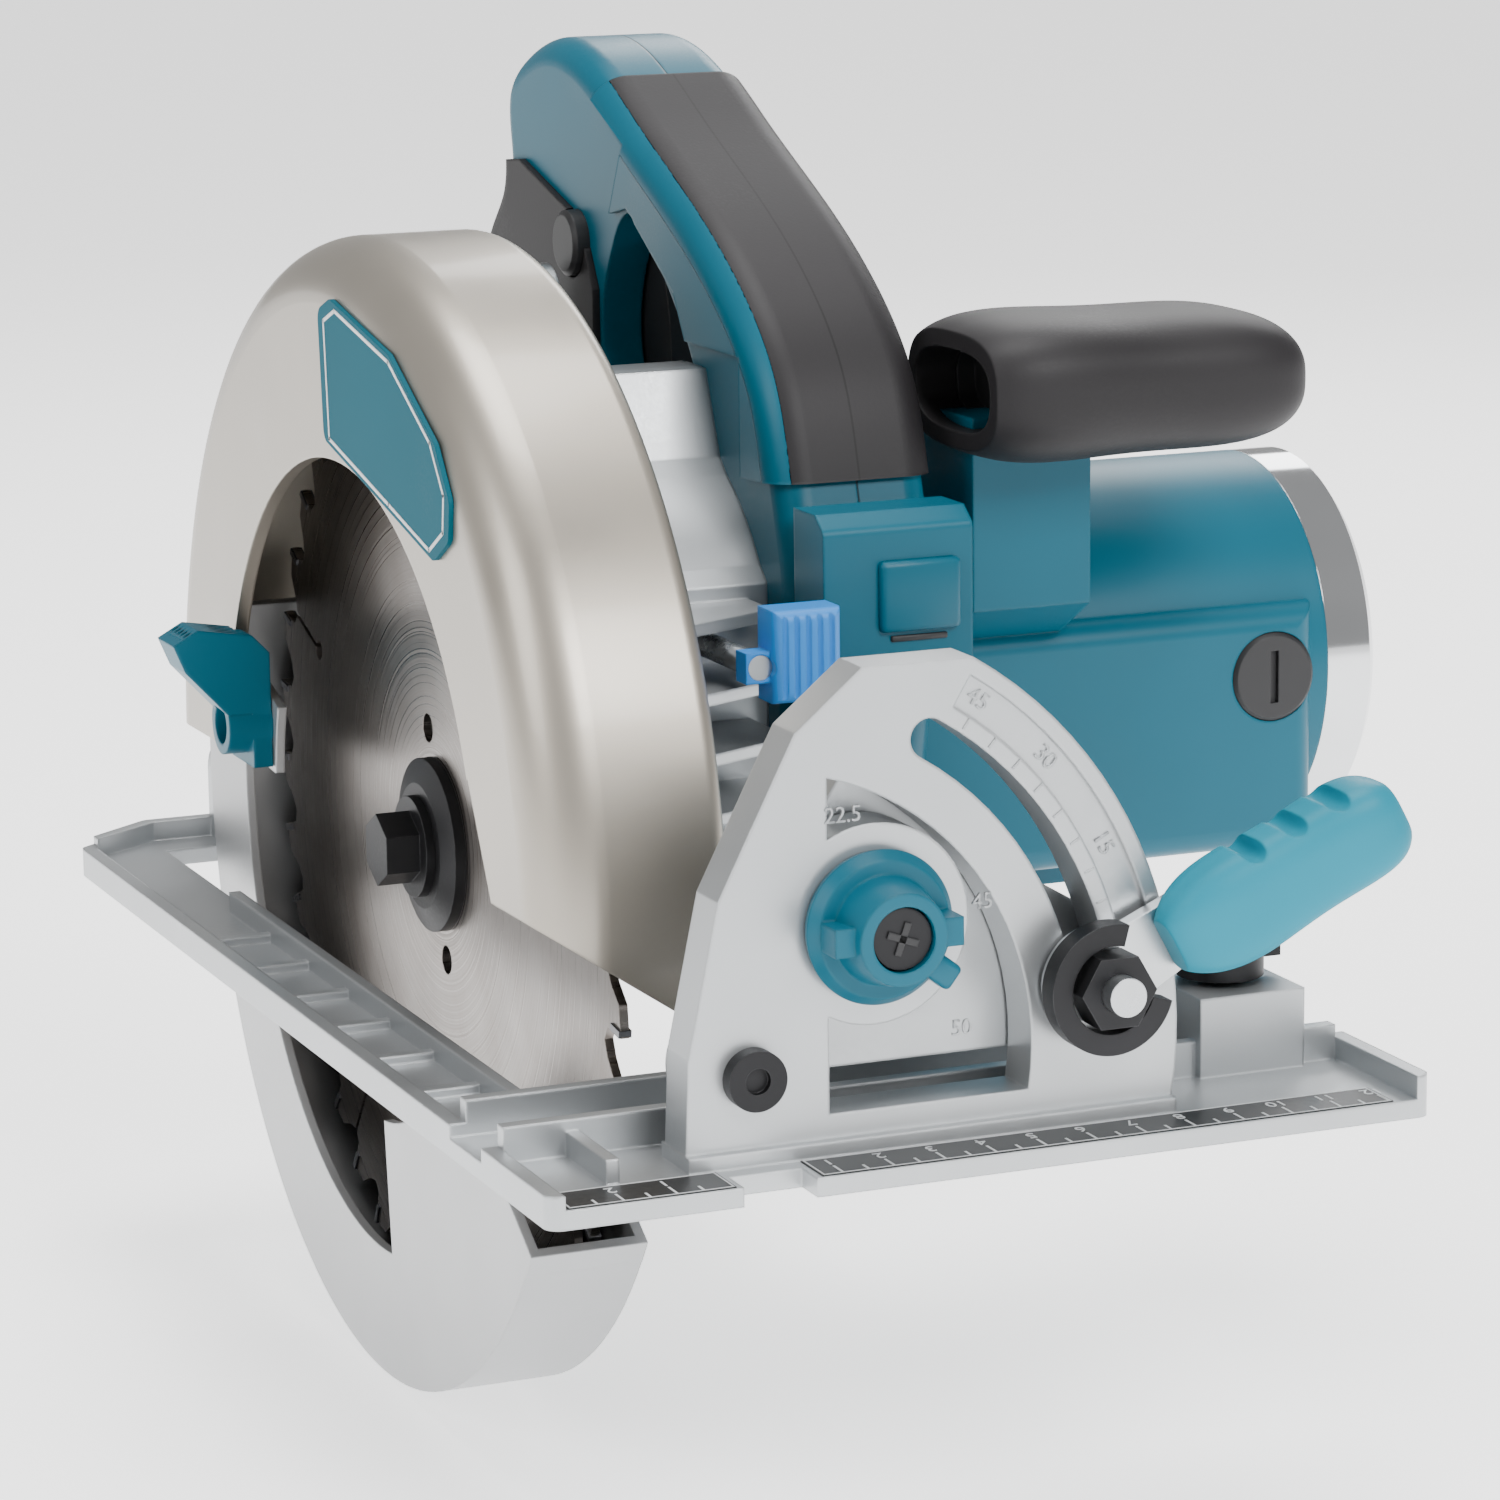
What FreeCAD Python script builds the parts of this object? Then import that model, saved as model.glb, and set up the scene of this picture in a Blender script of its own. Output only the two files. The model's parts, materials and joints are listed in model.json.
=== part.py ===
"""Hand-held circular saw, built as the separate pieces it comes apart into.

Frame: millimetres, +Z up.  The origin lies on the underside of the base plate,
straight below the bevel pivot, in the plane of the blade.  +X points from the
blade to the motor, +Y from the front edge of the base back to the operator.
Every driving size is a cell of the sheet "Dims"; sizes worked out from them
carry their expression along, so the features stay bound to the sheet.
"""
import FreeCAD, Part
import math
import os

import Sketcher

Vector = FreeCAD.Vector
Rotation = FreeCAD.Rotation
Placement = FreeCAD.Placement

doc = FreeCAD.newDocument("circular_saw")

# ---------------------------------------------------------------- driving sizes
DIMENSIONS = [
    # blade and spindle line
    ("blade_diameter", 210.0), ("blade_plate", 1.8), ("blade_bore", 30.0),
    ("blade_teeth", 40), ("gullet_depth", 7.0), ("arbor_y", 162.0), ("arbor_height", 28.0),
    ("flange_diameter", 36.0), ("inner_flange_thick", 4.6), ("outer_flange_thick", 4.0),
    ("nose_diameter", 15.0), ("arbor_bolt_diameter", 8.0),
    # gears
    ("gear_module", 1.2), ("wheel_teeth", 40), ("pinion_teeth", 10), ("gear_face", 11.0),
    ("gear_x", 26.0), ("motor_direction", 102.0), ("backlash", 0.16),
    # clearances
    ("running_fit", 0.05), ("seat_gap", 0.2), ("moving_gap", 0.6),
    # base plate
    ("base_left", 43.6), ("base_front", 17.0), ("base_length", 315.0), ("wing_right", 131.0),
    ("wing_depth", 63.0), ("body_strip_right", 96.0), ("base_floor", 3.6), ("rim_height", 8.0),
    ("rim_width", 3.2), ("left_lip_height", 6.2), ("left_rib_x", 28.5), ("left_rib_height", 8.2),
    ("opening_left", 24.0), ("opening_right", 44.0), ("opening_front", 48.0),
    ("rear_bar", 14.0), ("gear_pocket_right", 54.5), ("fence_bar_width", 17.0),
    ("fence_channel_y", 26.0), ("fence_rib_height", 10.4), ("fence_screw_x", 109.0),
    ("fence_screw_diameter", 8.0), ("sight_notch", 14.0),
    # bevel quadrant, on the base
    ("bevel_pivot_height", 19.5), ("bevel_pivot_diameter", 8.0), ("arch_front", 4.0),
    ("arch_thick", 10.0), ("quadrant_radius", 84.5), ("window_radius", 55.0),
    ("slot_radius", 68.0), ("slot_width", 7.4), ("bevel_range", 50.0), ("bolt_angle", 9.0),
    ("stop_x", 24.0), ("stop_height", 45.0), ("stop_ear_radius", 18.5), ("stop_bore", 9.0),
    # tilt frame
    ("tilt_gap", 0.6), ("tilt_thick", 4.5), ("clamp_bolt_diameter", 7.2),
    ("depth_pivot_y", 24.0), ("depth_pivot_height", 30.0), ("depth_pin_diameter", 8.0),
    ("lug_thick", 4.0), ("arm_left", 30.6), ("arm_width", 24.0), ("guide_radius", 211.0),
    ("guide_width", 17.0), ("guide_thick", 3.0), ("guide_x", 40.0), ("guide_slot", 6.6),
    ("depth_range", 22.0), ("depth_bolt_angle", 7.0), ("depth_bolt_diameter", 6.0),
    # blade case and lower guard
    ("case_clearance", 16.0), ("case_offset", 4.0), ("case_left", 20.5), ("case_right", 17.0),
    ("case_wall", 3.0), ("case_shoulder", 13.0), ("case_band", 40.0),
    ("guard_clearance", 6.0), ("guard_left", 16.0), ("guard_right", 8.0), ("guard_wall", 2.0),
    ("guard_front_angle", 213.0), ("guard_rear_angle", 369.0), ("guard_rim_depth", 27.0),
    ("guard_hub_radius", 25.0), ("lever_inset", 10.5), ("guard_lever_angle", 12.0),
    ("guard_lever_end", 35.0),
    # gear housing
    ("drum_radius", 57.0), ("housing_wall", 3.0), ("housing_right", 50.0), ("chamber_gap", 0.6),
    ("chamber_wall", 1.6), ("core_front", 112.0), ("fin_thick", 2.4), ("fin_front", 72.0),
    ("front_bearing_radius", 16.0), ("front_bearing_width", 10.0), ("small_bearing_radius", 11.0),
    ("small_bearing_width", 7.0),
    # motor
    ("motor_radius", 40.5), ("motor_wall", 2.6), ("motor_left", 82.0), ("motor_right", 181.0),
    ("end_cover_length", 12.0), ("stator_bore", 23.0), ("air_gap", 0.7), ("core_left", 92.0),
    ("core_length", 46.0), ("commutator_radius", 13.0), ("commutator_left", 158.0),
    ("commutator_length", 17.0), ("brush_width", 6.4), ("brush_x", 166.5), ("cap_radius", 9.4),
    ("fan_radius", 36.0), ("fan_left", 54.0), ("fan_width", 11.0), ("motor_shaft_radius", 5.0),
    ("motor_box_front", 112.4), ("motor_box_top", 72.0),
    # handle
    ("handle_seam_x", 66.0), ("handle_half", 16.0), ("handle_wall", 2.8), ("fan_chamber", 39.5),
    ("trigger_width", 13.0), ("trigger_travel", 7.0), ("grip_depth", 1.6), ("lock_off_radius", 7.0),
    # front grip
    ("grip_left", 88.0), ("grip_length", 70.0), ("grip_y", 101.0), ("grip_height", 124.0),
    ("grip_span_y", 50.0), ("grip_span_z", 29.0), ("grip_skin", 4.0), ("post_left", 92.0),
    ("post_width", 26.0), ("post_front", 100.0),
    # shaft lock
    ("lock_x", 33.0), ("lock_travel", 5.6), ("lock_pad_y", 66.0), ("lock_rod_diameter", 5.0),
    ("lock_rod_height", 78.0),
]

sheet = doc.addObject("Spreadsheet::Sheet", "Dims")
for row, (alias, value) in enumerate(DIMENSIONS, start=1):
    sheet.set("A%d" % row, alias)
    sheet.set("B%d" % row, str(value))
    sheet.setAlias("B%d" % row, alias)
doc.recompute()


class Size(float):
    """A length or angle that remembers the sheet expression it comes from."""

    def __new__(cls, value, text):
        self = float.__new__(cls, value)
        self.text = text
        return self

    def joined(self, sign, other, value, swapped=False):
        mine = (text_of(other), self.text) if swapped else (self.text, text_of(other))
        return Size(value, "(%s %s %s)" % (mine[0], sign, mine[1]))

    def __add__(self, other):
        return self.joined("+", other, float(self) + float(other))

    def __radd__(self, other):
        return self.joined("+", other, float(other) + float(self), True)

    def __sub__(self, other):
        return self.joined("-", other, float(self) - float(other))

    def __rsub__(self, other):
        return self.joined("-", other, float(other) - float(self), True)

    def __mul__(self, other):
        return self.joined("*", other, float(self) * float(other))

    def __rmul__(self, other):
        return self.joined("*", other, float(other) * float(self), True)

    def __truediv__(self, other):
        return self.joined("/", other, float(self) / float(other))

    def __neg__(self):
        return Size(-float(self), "(0 - %s)" % self.text)

    def cos(self):
        return Size(math.cos(math.radians(self)), "cos(%s)" % self.text)

    def sin(self):
        return Size(math.sin(math.radians(self)), "sin(%s)" % self.text)


def text_of(value):
    return getattr(value, "text", repr(float(value)))


class Dims:
    """Gives every cell of the sheet by its name, as a Size."""

    def __getattr__(self, alias):
        return Size(float(sheet.get(alias)), "Dims." + alias)


D = Dims()

# ---------------------------------------------------------------- worked-out places
blade_radius = D.blade_diameter / 2
wheel_pitch = D.gear_module * D.wheel_teeth / 2
pinion_pitch = D.gear_module * D.pinion_teeth / 2
centre_distance = wheel_pitch + pinion_pitch
motor_y = D.arbor_y + centre_distance * D.motor_direction.cos()
motor_z = D.arbor_height + centre_distance * D.motor_direction.sin()
wheel_tip = wheel_pitch + D.gear_module
pinion_tip = pinion_pitch + D.gear_module
inner_flange_right = D.blade_plate / 2 + D.inner_flange_thick
retainer_left = inner_flange_right + D.moving_gap
chamber_radius = wheel_tip + D.chamber_gap
front_bearing_left = D.gear_x - 3 - D.front_bearing_width
gear_right = D.gear_x + D.gear_face
plate_left = gear_right + 1.5
small_bearing_left = plate_left
base_rear = D.base_length - D.base_front
opening_rear = base_rear - D.rear_bar
arch_back = D.arch_thick - D.arch_front
tilt_front = arch_back + D.tilt_gap
tilt_back = tilt_front + D.tilt_thick
bolt_x = D.slot_radius * D.bolt_angle.cos()
bolt_z = D.bevel_pivot_height + D.slot_radius * D.bolt_angle.sin()
depth_bolt_y = D.depth_pivot_y + D.guide_radius * D.depth_bolt_angle.cos()
depth_bolt_z = D.depth_pivot_height + D.guide_radius * D.depth_bolt_angle.sin()
case_radius = blade_radius + D.case_clearance
window_radius = case_radius - D.case_band
guard_radius = blade_radius + D.guard_clearance
guard_inner_radius = guard_radius - D.guard_rim_depth
lever_radius = window_radius - D.lever_inset
lever_y = D.arbor_y + lever_radius * D.guard_lever_angle.cos()
lever_z = D.arbor_height + lever_radius * D.guard_lever_angle.sin()
motor_end = D.motor_right + D.end_cover_length
rear_bearing_left = D.motor_right + 1.0
handle_left_x = D.handle_seam_x - D.handle_half
handle_right_x = D.handle_seam_x + D.handle_half

# ---------------------------------------------------------------- feature helpers
TURN = {
    "X": Rotation(Vector(0, 1, 0), 90),
    "-X": Rotation(Vector(0, 1, 0), -90),
    "Y": Rotation(Vector(1, 0, 0), -90),
    "-Y": Rotation(Vector(1, 0, 0), 90),
    "Z": Rotation(),
}
LATHE_TURN = {
    "X": Rotation(),
    "Y": Rotation(Vector(0, 0, 1), 90),
    "-Y": Rotation(Vector(0, 0, 1), -90),
    "Z": Rotation(Vector(0, 1, 0), -90),
}


def place(obj, at, rotation=Rotation()):
    """Turns an object and binds its three coordinates to the sheet."""
    obj.Placement = Placement(Vector(*[float(c) for c in at]), rotation)
    for letter, value in zip("xyz", at):
        if hasattr(value, "text"):
            obj.setExpression("Placement.Base." + letter, value.text)
    return obj


def bind(obj, **sizes):
    """Gives an object its sizes, bound to the sheet where they come from it."""
    for name, value in sizes.items():
        setattr(obj, name, float(value))
        if hasattr(value, "text"):
            obj.setExpression(name, value.text)
    return obj


def new(kind, name):
    return doc.addObject(kind, name)


def cylinder(name, radius, length, at, axis="X", angle=360):
    """A round bar from the point 'at', along an axis."""
    obj = bind(new("Part::Cylinder", name), Radius=radius, Height=length, Angle=angle)
    return place(obj, at, TURN[axis])


def cone(name, radius_near, radius_far, length, at, axis="X"):
    obj = bind(new("Part::Cone", name), Radius1=radius_near, Radius2=radius_far, Height=length)
    return place(obj, at, TURN[axis])


def box(name, low, high):
    """A block between two opposite corners."""
    obj = bind(new("Part::Box", name), Length=high[0] - low[0], Width=high[1] - low[1],
               Height=high[2] - low[2])
    return place(obj, low)


def fuse(name, pieces):
    obj = new("Part::MultiFuse", name)
    obj.Shapes = list(pieces)
    obj.Refine = True
    return obj


def cut(name, stock, tools):
    """Takes the tools away from the stock."""
    obj = new("Part::Cut", name)
    obj.Base = stock
    obj.Tool = tools[0] if len(tools) == 1 else fuse(name + "_tools", tools)
    obj.Refine = True
    return obj


def common(name, first, second):
    obj = new("Part::MultiCommon", name)
    obj.Shapes = [first, second]
    obj.Refine = True
    return obj


def ring(name, outer, inner, length, at, axis="X"):
    """A round bar with a round bore."""
    return cut(name, cylinder(name + "_bar", outer, length, at, axis),
               [cylinder(name + "_bore", inner, length, at, axis)])


def origin_plane(body, role):
    return [f for f in body.Origin.OriginFeatures if f.Role == role][0]


def polygon_sketch(body, name, plane, points):
    """A closed outline whose corners are bound to the sheet, one by one."""
    sketch = body.newObject("Sketcher::SketchObject", name)
    sketch.AttachmentSupport = [(origin_plane(body, plane), "")]
    sketch.MapMode = "FlatFace"
    count = len(points)
    corners = [Vector(float(u), float(v), 0) for u, v in points]
    for i in range(count):
        sketch.addGeometry(Part.LineSegment(corners[i], corners[(i + 1) % count]), False)
    for i in range(count):
        sketch.addConstraint(Sketcher.Constraint("Coincident", i, 2, (i + 1) % count, 1))
    for i, (u, v) in enumerate(points):
        for kind, value in (("DistanceX", u), ("DistanceY", v)):
            index = sketch.addConstraint(Sketcher.Constraint(kind, -1, 1, i, 1, float(value)))
            if hasattr(value, "text"):
                sketch.setExpression("Constraints[%d]" % index, value.text)
    return sketch


def lathe(name, at, profile, axis="X"):
    """A turned piece: profile corners are (distance along the axis, radius)."""
    body = new("PartDesign::Body", name)
    sketch = polygon_sketch(body, name + "_profile", "XZ_Plane", profile)
    turned = body.newObject("PartDesign::Revolution", name + "_turned")
    turned.Profile = sketch
    turned.ReferenceAxis = (sketch, ["H_Axis"])
    turned.Angle = 360
    return place(body, at, LATHE_TURN[axis])


def plate(name, plane, outline, thickness, at, corner_radius=None):
    """A flat piece: an outline padded to a thickness, its upright corners rounded."""
    body = new("PartDesign::Body", name)
    sketch = polygon_sketch(body, name + "_outline", plane, outline)
    pad = bind(body.newObject("PartDesign::Pad", name + "_pad"), Length=thickness)
    pad.Profile = sketch
    pad.Midplane = False
    place(body, at)
    if corner_radius is not None:
        doc.recompute()
        local = pad.Shape.copy()
        span = float(thickness)
        upright = ["Edge%d" % (i + 1) for i, e in enumerate(local.Edges)
                   if abs(e.Length - span) < 1e-4 and is_normal(e, plane)]
        rounded = bind(body.newObject("PartDesign::Fillet", name + "_corners"),
                       Radius=corner_radius)
        rounded.Base = (pad, upright)
    return body


def is_normal(edge, plane):
    """True for an edge that stands square to the named plane."""
    run = edge.Vertexes[-1].Point - edge.Vertexes[0].Point
    across = {"XY_Plane": "z", "XZ_Plane": "y", "YZ_Plane": "x"}[plane]
    return abs(abs(getattr(run, across)) - run.Length) < 1e-6


def shaped(name, shape, at=(0, 0, 0)):
    """A piece whose form is set with the Part functions, for what no feature makes."""
    obj = new("Part::Feature", name)
    obj.Shape = shape
    obj.Placement = Placement(Vector(*[float(c) for c in at]), Rotation())
    return obj


def polar(radius, degrees):
    return radius * math.cos(math.radians(degrees)), radius * math.sin(math.radians(degrees))


def yz_face(points, x):
    """A flat face in a plane of constant X, from (y, z) corners."""
    ring_points = [Vector(x, y, z) for y, z in points]
    return Part.Face(Part.makePolygon(ring_points + ring_points[:1]))


def closed_curve(points, x):
    curve = Part.BSplineCurve()
    curve.interpolate(Points=[Vector(x, y, z) for y, z in points], PeriodicFlag=True)
    return curve


def yz_smooth_face(points, x, grow=0.0):
    """One smooth closed curve through the points, grown outward by a distance."""
    curve = closed_curve(points, x)
    if grow:
        count = 5 * len(points)
        first, last = curve.FirstParameter, curve.LastParameter
        area = sum(a[0] * b[1] - b[0] * a[1] for a, b in zip(points, points[1:] + points[:1]))
        side = grow if area > 0 else -grow
        moved = []
        for i in range(count):
            parameter = first + (last - first) * i / count
            spot = curve.value(parameter)
            run = curve.tangent(parameter)[0]
            moved.append((spot.y + side * run.z, spot.z - side * run.y))
        curve = closed_curve(moved, x)
    return Part.Face(Part.Wire([curve.toShape()]))


def sector(radius_in, radius_out, start, end, x, width, centre):
    """A ring sector about an X axis, from one angle to another."""
    cy, cz = centre

    def point(radius, degrees):
        dy, dz = polar(radius, degrees)
        return Vector(x, cy + dy, cz + dz)

    middle = (start + end) / 2
    outer = Part.Arc(point(radius_out, start), point(radius_out, middle), point(radius_out, end))
    inner = Part.Arc(point(radius_in, end), point(radius_in, middle), point(radius_in, start))
    edges = [outer.toShape(), Part.makeLine(point(radius_out, end), point(radius_in, end)),
             inner.toShape(), Part.makeLine(point(radius_in, start), point(radius_out, start))]
    return Part.Face(Part.Wire(edges)).extrude(Vector(width, 0, 0))


def xz_sector(radius_in, radius_out, start, end, y, depth, centre):
    """A ring sector about a Y axis; angles run from +X toward +Z."""
    cx, cz = centre

    def point(radius, degrees):
        dx, dz = polar(radius, degrees)
        return Vector(cx + dx, y, cz + dz)

    middle = (start + end) / 2
    outer = Part.Arc(point(radius_out, start), point(radius_out, middle), point(radius_out, end))
    inner = Part.Arc(point(radius_in, end), point(radius_in, middle), point(radius_in, start))
    edges = [outer.toShape(), Part.makeLine(point(radius_out, end), point(radius_in, end)),
             inner.toShape(), Part.makeLine(point(radius_in, start), point(radius_out, start))]
    return Part.Face(Part.Wire(edges)).extrude(Vector(0, depth, 0))


def round_bar(radius, start, end):
    """A plain cylinder between two points."""
    line = Vector(*[float(c) for c in end]) - Vector(*[float(c) for c in start])
    return Part.makeCylinder(float(radius), line.Length, Vector(*[float(c) for c in start]), line)


def block(low, high):
    low = [float(c) for c in low]
    high = [float(c) for c in high]
    return Part.makeBox(high[0] - low[0], high[1] - low[1], high[2] - low[2], Vector(*low))


NODES = {}


def node(name, obj):
    """Names an object as one sub-part of the saw."""
    obj.Label = name
    NODES[name] = obj
    return obj


motor = (float(motor_y), float(motor_z))
arbor = (float(D.arbor_y), float(D.arbor_height))
pivot_z = D.bevel_pivot_height
FIT = D.running_fit


# ---------------------------------------------------------------- base group
def make_base_plate():
    left, front, rear = -D.base_left, -D.base_front, base_rear
    wing_rear = D.wing_depth - D.base_front
    outline = [(left, front), (D.wing_right, front), (D.wing_right, wing_rear),
               (D.body_strip_right, wing_rear), (D.body_strip_right, rear),
               (left + 18.6, rear), (left, rear - 14)]
    slab = plate("base_slab", "XY_Plane", outline, D.rim_height, (0, 0, 0), 3)
    w = D.rim_width
    floor = D.base_floor
    hollow = [(left + w, front - 5), (D.wing_right - w, front - 5), (D.wing_right - w, wing_rear - w),
              (D.body_strip_right - w, wing_rear - w), (D.body_strip_right - w, rear - w),
              (left + 20, rear - w), (left + w, rear - 15)]
    inside = plate("base_hollow", "XY_Plane", hollow, D.rim_height, (0, 0, floor))
    y0 = D.fence_channel_y - D.fence_bar_width / 2
    y1 = D.fence_channel_y + D.fence_bar_width / 2
    right = D.wing_right
    opening = box("base_opening", (-D.opening_left, D.opening_front, -1),
                  (D.opening_right, opening_rear, 12))
    pocket = box("gear_pocket", (D.opening_right - 1, D.arbor_y - chamber_radius - 12, -1),
                 (D.gear_pocket_right, D.arbor_y + chamber_radius + 12, 12))
    notch = box("sight_gap", (-D.sight_notch / 2, front - 1, -1), (D.sight_notch / 2, front + 7, 12))
    low_lip = box("low_left_lip", (left - 1, front - 1, D.left_lip_height),
                  (left + w + 0.5, rear + 1, 12))
    pan = cut("base_pan", slab, [inside, opening, pocket, notch, low_lip])
    ribs = [box("fence_rib_front", (left + w, y0 - 3, 2), (right - w, y0, D.fence_rib_height)),
            box("fence_rib_rear", (left + w, y1, 2), (right - w, y1 + 3, D.fence_rib_height)),
            box("left_rib", (-D.left_rib_x, y1, 2), (-D.opening_left - 2, rear - 78,
                                                   D.left_rib_height)),
            box("front_left_rib", (-D.left_rib_x, front + 11.4, 2),
                (-D.opening_left - 2, y0, D.left_rib_height)),
            box("strip_rib", (D.gear_pocket_right + 3, y1, 2), (D.gear_pocket_right + 5.5, rear - 12,
                                                              6.5))]
    for i in range(6):
        y = y1 + 26 + i * 26
        ribs.append(box("cross_rib_%d" % i, (left + w - 1, y, 2), (-D.left_rib_x + 1, y + 2.5, 5.4)))
    screw_x = D.fence_screw_x
    ribs.append(box("fence_boss", (screw_x - 11, y0 - 5, 2), (screw_x + 11, y1 + 5, 19)))
    ribs.append(box("rear_ear", (-10, rear - 10, 2), (10, rear - 2, pivot_z)))
    ribs.append(cylinder("rear_ear_top", 10, 8, (0, rear - 10, pivot_z), "Y"))
    ribs.append(arch_stock())
    whole = fuse("base_whole", [pan] + ribs)
    holes = [box("fence_channel", (left - 1, y0, floor), (right + 1, y1, floor + 5)),
             cylinder("fence_thread", D.fence_screw_diameter / 2 + FIT, 30,
                      (screw_x, D.fence_channel_y, floor + 1), "Z"),
             cylinder("front_pivot_hole", D.bevel_pivot_diameter / 2 + FIT, D.arch_thick + 4,
                      (0, -D.arch_front - 2, pivot_z), "Y"),
             cylinder("rear_pivot_hole", D.bevel_pivot_diameter / 2 + FIT, 14,
                      (0, rear - 13, pivot_z), "Y"),
             cylinder("stop_hole", D.stop_bore / 2 + FIT, D.arch_thick + 4,
                      (D.stop_x, -D.arch_front - 2, D.stop_height), "Y"),
             shaped("bevel_slot", bevel_slot_shape())]
    node("base_plate", cut("base_cast", whole, holes))


def arch_stock():
    """The bevel quadrant: leg, ear for the stop knob, ring and open window."""
    y0, y1 = -float(D.arch_front), float(arch_back)
    r = float(D.quadrant_radius)
    pz = float(pivot_z)
    outline = [(-13, 2), (-12, 24), (-6, 52), (9, 81), (22, pz + 0.855 * r),
               (44, pz + 0.855 * r), (r + 2, pz + 0.855 * r), (r + 2, 2)]
    corners = [Vector(x, y0, z) for x, z in outline]
    face = Part.Face(Part.makePolygon(corners + corners[:1]))
    body = face.extrude(Vector(0, y1 - y0, 0))
    body = body.common(Part.makeCylinder(r, y1 - y0, Vector(0, y0, pz), Vector(0, 1, 0)))
    window = Part.makeCylinder(float(D.window_radius), y1 - y0 + 2, Vector(0, y0 - 1, pz),
                               Vector(0, 1, 0))
    window = window.common(block((15, y0 - 1, 11), (90, y1 + 1, 90)))
    ear = Part.makeCylinder(float(D.stop_ear_radius), y1 - y0 + 2,
                            Vector(float(D.stop_x), y0 - 1, float(D.stop_height)), Vector(0, 1, 0))
    window = window.cut(ear)
    relief = xz_sector(float(D.slot_radius) + 7, r - 3, 12, 58, y0 - 1, 2.2, (0, pz))
    foot = block((-13, y0 - 2, 2), (r - 1, y1 + 1.2, 6.5))
    return shaped("bevel_quadrant", body.cut(window).cut(relief).fuse(foot))


def bevel_slot_shape():
    y0 = -float(D.arch_front) - 1
    depth = float(D.arch_thick) + 2
    r, w = float(D.slot_radius), float(D.slot_width)
    start, end = float(D.bolt_angle), float(D.bolt_angle + D.bevel_range)
    pz = float(pivot_z)
    slot = xz_sector(r - w / 2, r + w / 2, start, end, y0, depth, (0, pz))
    for angle in (start, end):
        dx, dz = polar(r, angle)
        slot = slot.fuse(Part.makeCylinder(w / 2, depth, Vector(dx, y0, pz + dz),
                                           Vector(0, 1, 0)))
    return slot.removeSplitter()


def make_base_small_parts():
    rear = base_rear
    y = -D.arch_front
    half = D.bevel_pivot_diameter / 2
    length = D.arch_thick + D.tilt_gap + D.tilt_thick + 5
    profile = [(1.4, 0), (1.4, 2.4), (0, 2.4), (0, 5.6), (3.2, 5.6), (3.2, half), (length, half),
               (length, 0)]
    node("bevel_pivot_bolts", fuse("pivot_bolts", [
        lathe("front_pivot_bolt", (0, y - 3.2, pivot_z), profile, "Y"),
        lathe("rear_pivot_bolt", (0, rear + 1.2, pivot_z), profile, "-Y")]))
    z = D.base_floor
    label = [box("label_right", (30, -14.5, z), (D.wing_right - 8, -6.4, z + 0.3)),
             box("label_left", (-38, -14.5, z), (-9, -6.4, z + 0.3))]
    node("scale_label", fuse("labels", label))
    radius = D.fence_screw_diameter / 2
    screw = lathe("fence_screw", (D.fence_screw_x, D.fence_channel_y, z + 5.4),
                  [(0, 0), (0, radius), (11, radius), (11, 8.4), (24, 8.4), (25, 7.4),
                   (25, 0)], "Z")
    bar = box("fence_screw_bar", (D.fence_screw_x - 12, D.fence_channel_y - 2, z + 19),
              (D.fence_screw_x + 12, D.fence_channel_y + 2, z + 27))
    node("fence_clamp_screw", fuse("fence_clamp", [screw, bar]))


def make_stop_knob():
    x, z = D.stop_x, D.stop_height
    y = -D.arch_front - 0.3
    dial = lathe("stop_dial", (x, y, z), [
        (0, 3.9), (0, 13.6), (2.2, 14.2), (4.5, 12.6), (4.5, 10), (13, 8.4), (13, 6.0),
        (9, 6.0), (9, 3.9)], "-Y")
    wing = box("stop_wing", (x - 12.4, y - 11, z - 2.6), (x + 12.4, y - 3, z + 2.6))
    well = cylinder("stop_well", 6.4, 14, (x, y, z), "-Y")
    node("bevel_stop_knob", fuse("stop_knob", [dial, cut("stop_wings", wing, [well])]))
    y = y - 9
    node("stop_knob_screw", lathe("stop_screw", (x, y - 3, z), [
        (0, 0), (0, 5.6), (2.6, 5.6), (2.6, 3.8), (D.arch_thick + 11.7, 3.8),
        (D.arch_thick + 11.7, 0)], "Y"))


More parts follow.
